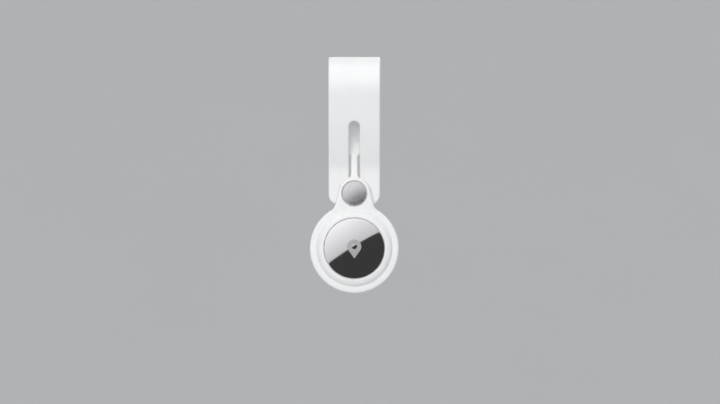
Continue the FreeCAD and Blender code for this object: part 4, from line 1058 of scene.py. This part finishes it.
def studio_card():
    """A card in front of the object that only reflections see: a dark lower right, and an upper left
    that brightens away from the dividing line."""
    distance, half = 0.9, 0.45
    corners = [(-half, -half), (half, -half), (half, half), (-half, half)]
    made = new_object("studio_card", [(x, -distance, z + TAG_Z * MM) for x, z in corners], [(0, 1, 2, 3)])
    material, tree, light = emitter("studio_card", 1.0)
    coordinates = tree.nodes.new("ShaderNodeTexCoord").outputs["Object"]
    split = tree.nodes.new("ShaderNodeSeparateXYZ")
    tree.links.new(coordinates, split.inputs[0])

    drop, slope, curve, fade = -0.0016, 0.61, 1.03, 0.105
    x, z = split.outputs[0], node_math(tree, "SUBTRACT", split.outputs[2], TAG_Z * MM + drop)
    bow = node_math(tree, "MULTIPLY", node_math(tree, "MULTIPLY", x, x), curve)
    straight = node_math(tree, "SUBTRACT", z, node_math(tree, "MULTIPLY", x, slope))
    above = node_math(tree, "ADD", straight, bow)
    span = tree.nodes.new("ShaderNodeMapRange")
    for socket, given in zip(span.inputs[1:5], (0, fade, 0, 1)):
        socket.default_value = given
    tree.links.new(above, span.inputs[0])
    ramp = tree.nodes.new("ShaderNodeValToRGB")
    tree.links.new(span.outputs[0], ramp.inputs[0])
    dark, edge = ramp.color_ramp.elements
    dark.position, dark.color = 0.0, (0.045, 0.044, 0.044, 1)
    edge.position, edge.color = 0.012, (0.60, 0.60, 0.61, 1)
    bright = ramp.color_ramp.elements.new(1.0)
    bright.color = (1.15, 1.15, 1.16, 1)
    tree.links.new(ramp.outputs[0], light.inputs["Color"])
    made.data.materials.append(material)
    only_reflected(made)


def only_reflected(card):
    """Keeps a card out of everything but reflections."""
    for kind in ("camera", "diffuse", "shadow", "transmission", "volume_scatter"):
        setattr(card, "visible_" + kind, False)


def upper_card():
    """A bright card that leans over the object, for the upper edges of the steel."""
    front_y, top_y, low_z, top_z, half = -0.9, -0.1, 0.40, 0.95, 0.9
    corners = [(-half, front_y, low_z), (half, front_y, low_z), (half, top_y, top_z), (-half, top_y, top_z)]
    made = new_object("upper_card", corners, [(0, 1, 2, 3)])
    made.data.materials.append(emitter("upper_card", 1.05)[0])
    only_reflected(made)


def area(name, where, target, size, energy):
    """A soft square light aimed at a point."""
    light = bpy.data.lights.new(name, "AREA")
    light.shape, light.size, light.energy = "SQUARE", size, energy
    made = bpy.data.objects.new(name, light)
    made.location = where
    made.rotation_euler = (Vector(target) - Vector(where)).to_track_quat("-Z", "Y").to_euler()
    bpy.context.scene.collection.objects.link(made)
    return made


backdrop()
studio_card()
upper_card()
centre = (0, 0, -0.04)
key = area("key", (-0.12, -0.80, 0.26), centre, 0.64, 3.8)
key.visible_glossy = False
area("glint", (-0.35, -0.80, 0.55), centre, 0.45, 0.95)
area("top_light", (0.0, -0.10, 0.80), centre, 0.6, 1.1)
area("back_light", (0.35, 0.75, 0.40), centre, 0.6, 2.8)
world = bpy.data.worlds.new("studio")
bpy.context.scene.world = world
world.use_nodes = True
background = world.node_tree.nodes["Background"]
background.inputs["Color"].default_value = (0.95, 0.97, 1.0, 1)
background.inputs["Strength"].default_value = 0.56
bpy.context.scene.view_settings.view_transform = "Standard"

# The camera looks straight along +Y from far off. The frame is as wide as twelve steel covers less a tenth
# of one. Its middle is to the right of the tag's axis and below the fold's top.
DISTANCE, FRAME_WIDTH = 2000.0, 11.9 * 2 * COVER_RADIUS
AIM_RIGHT, AIM_BELOW_TOP = 2.4, 61.4
camera = bpy.data.cameras.new("camera")
camera.sensor_width = 36
camera.lens = camera.sensor_width * DISTANCE / FRAME_WIDTH
camera.clip_end = 20
seat = bpy.data.objects.new("camera", camera)
seat.location = (AIM_RIGHT * MM, -DISTANCE * MM, (STRAP_HIGH[2] - AIM_BELOW_TOP) * MM)
seat.rotation_euler = (math.radians(90), 0, 0)
bpy.context.scene.collection.objects.link(seat)
bpy.context.scene.camera = seat
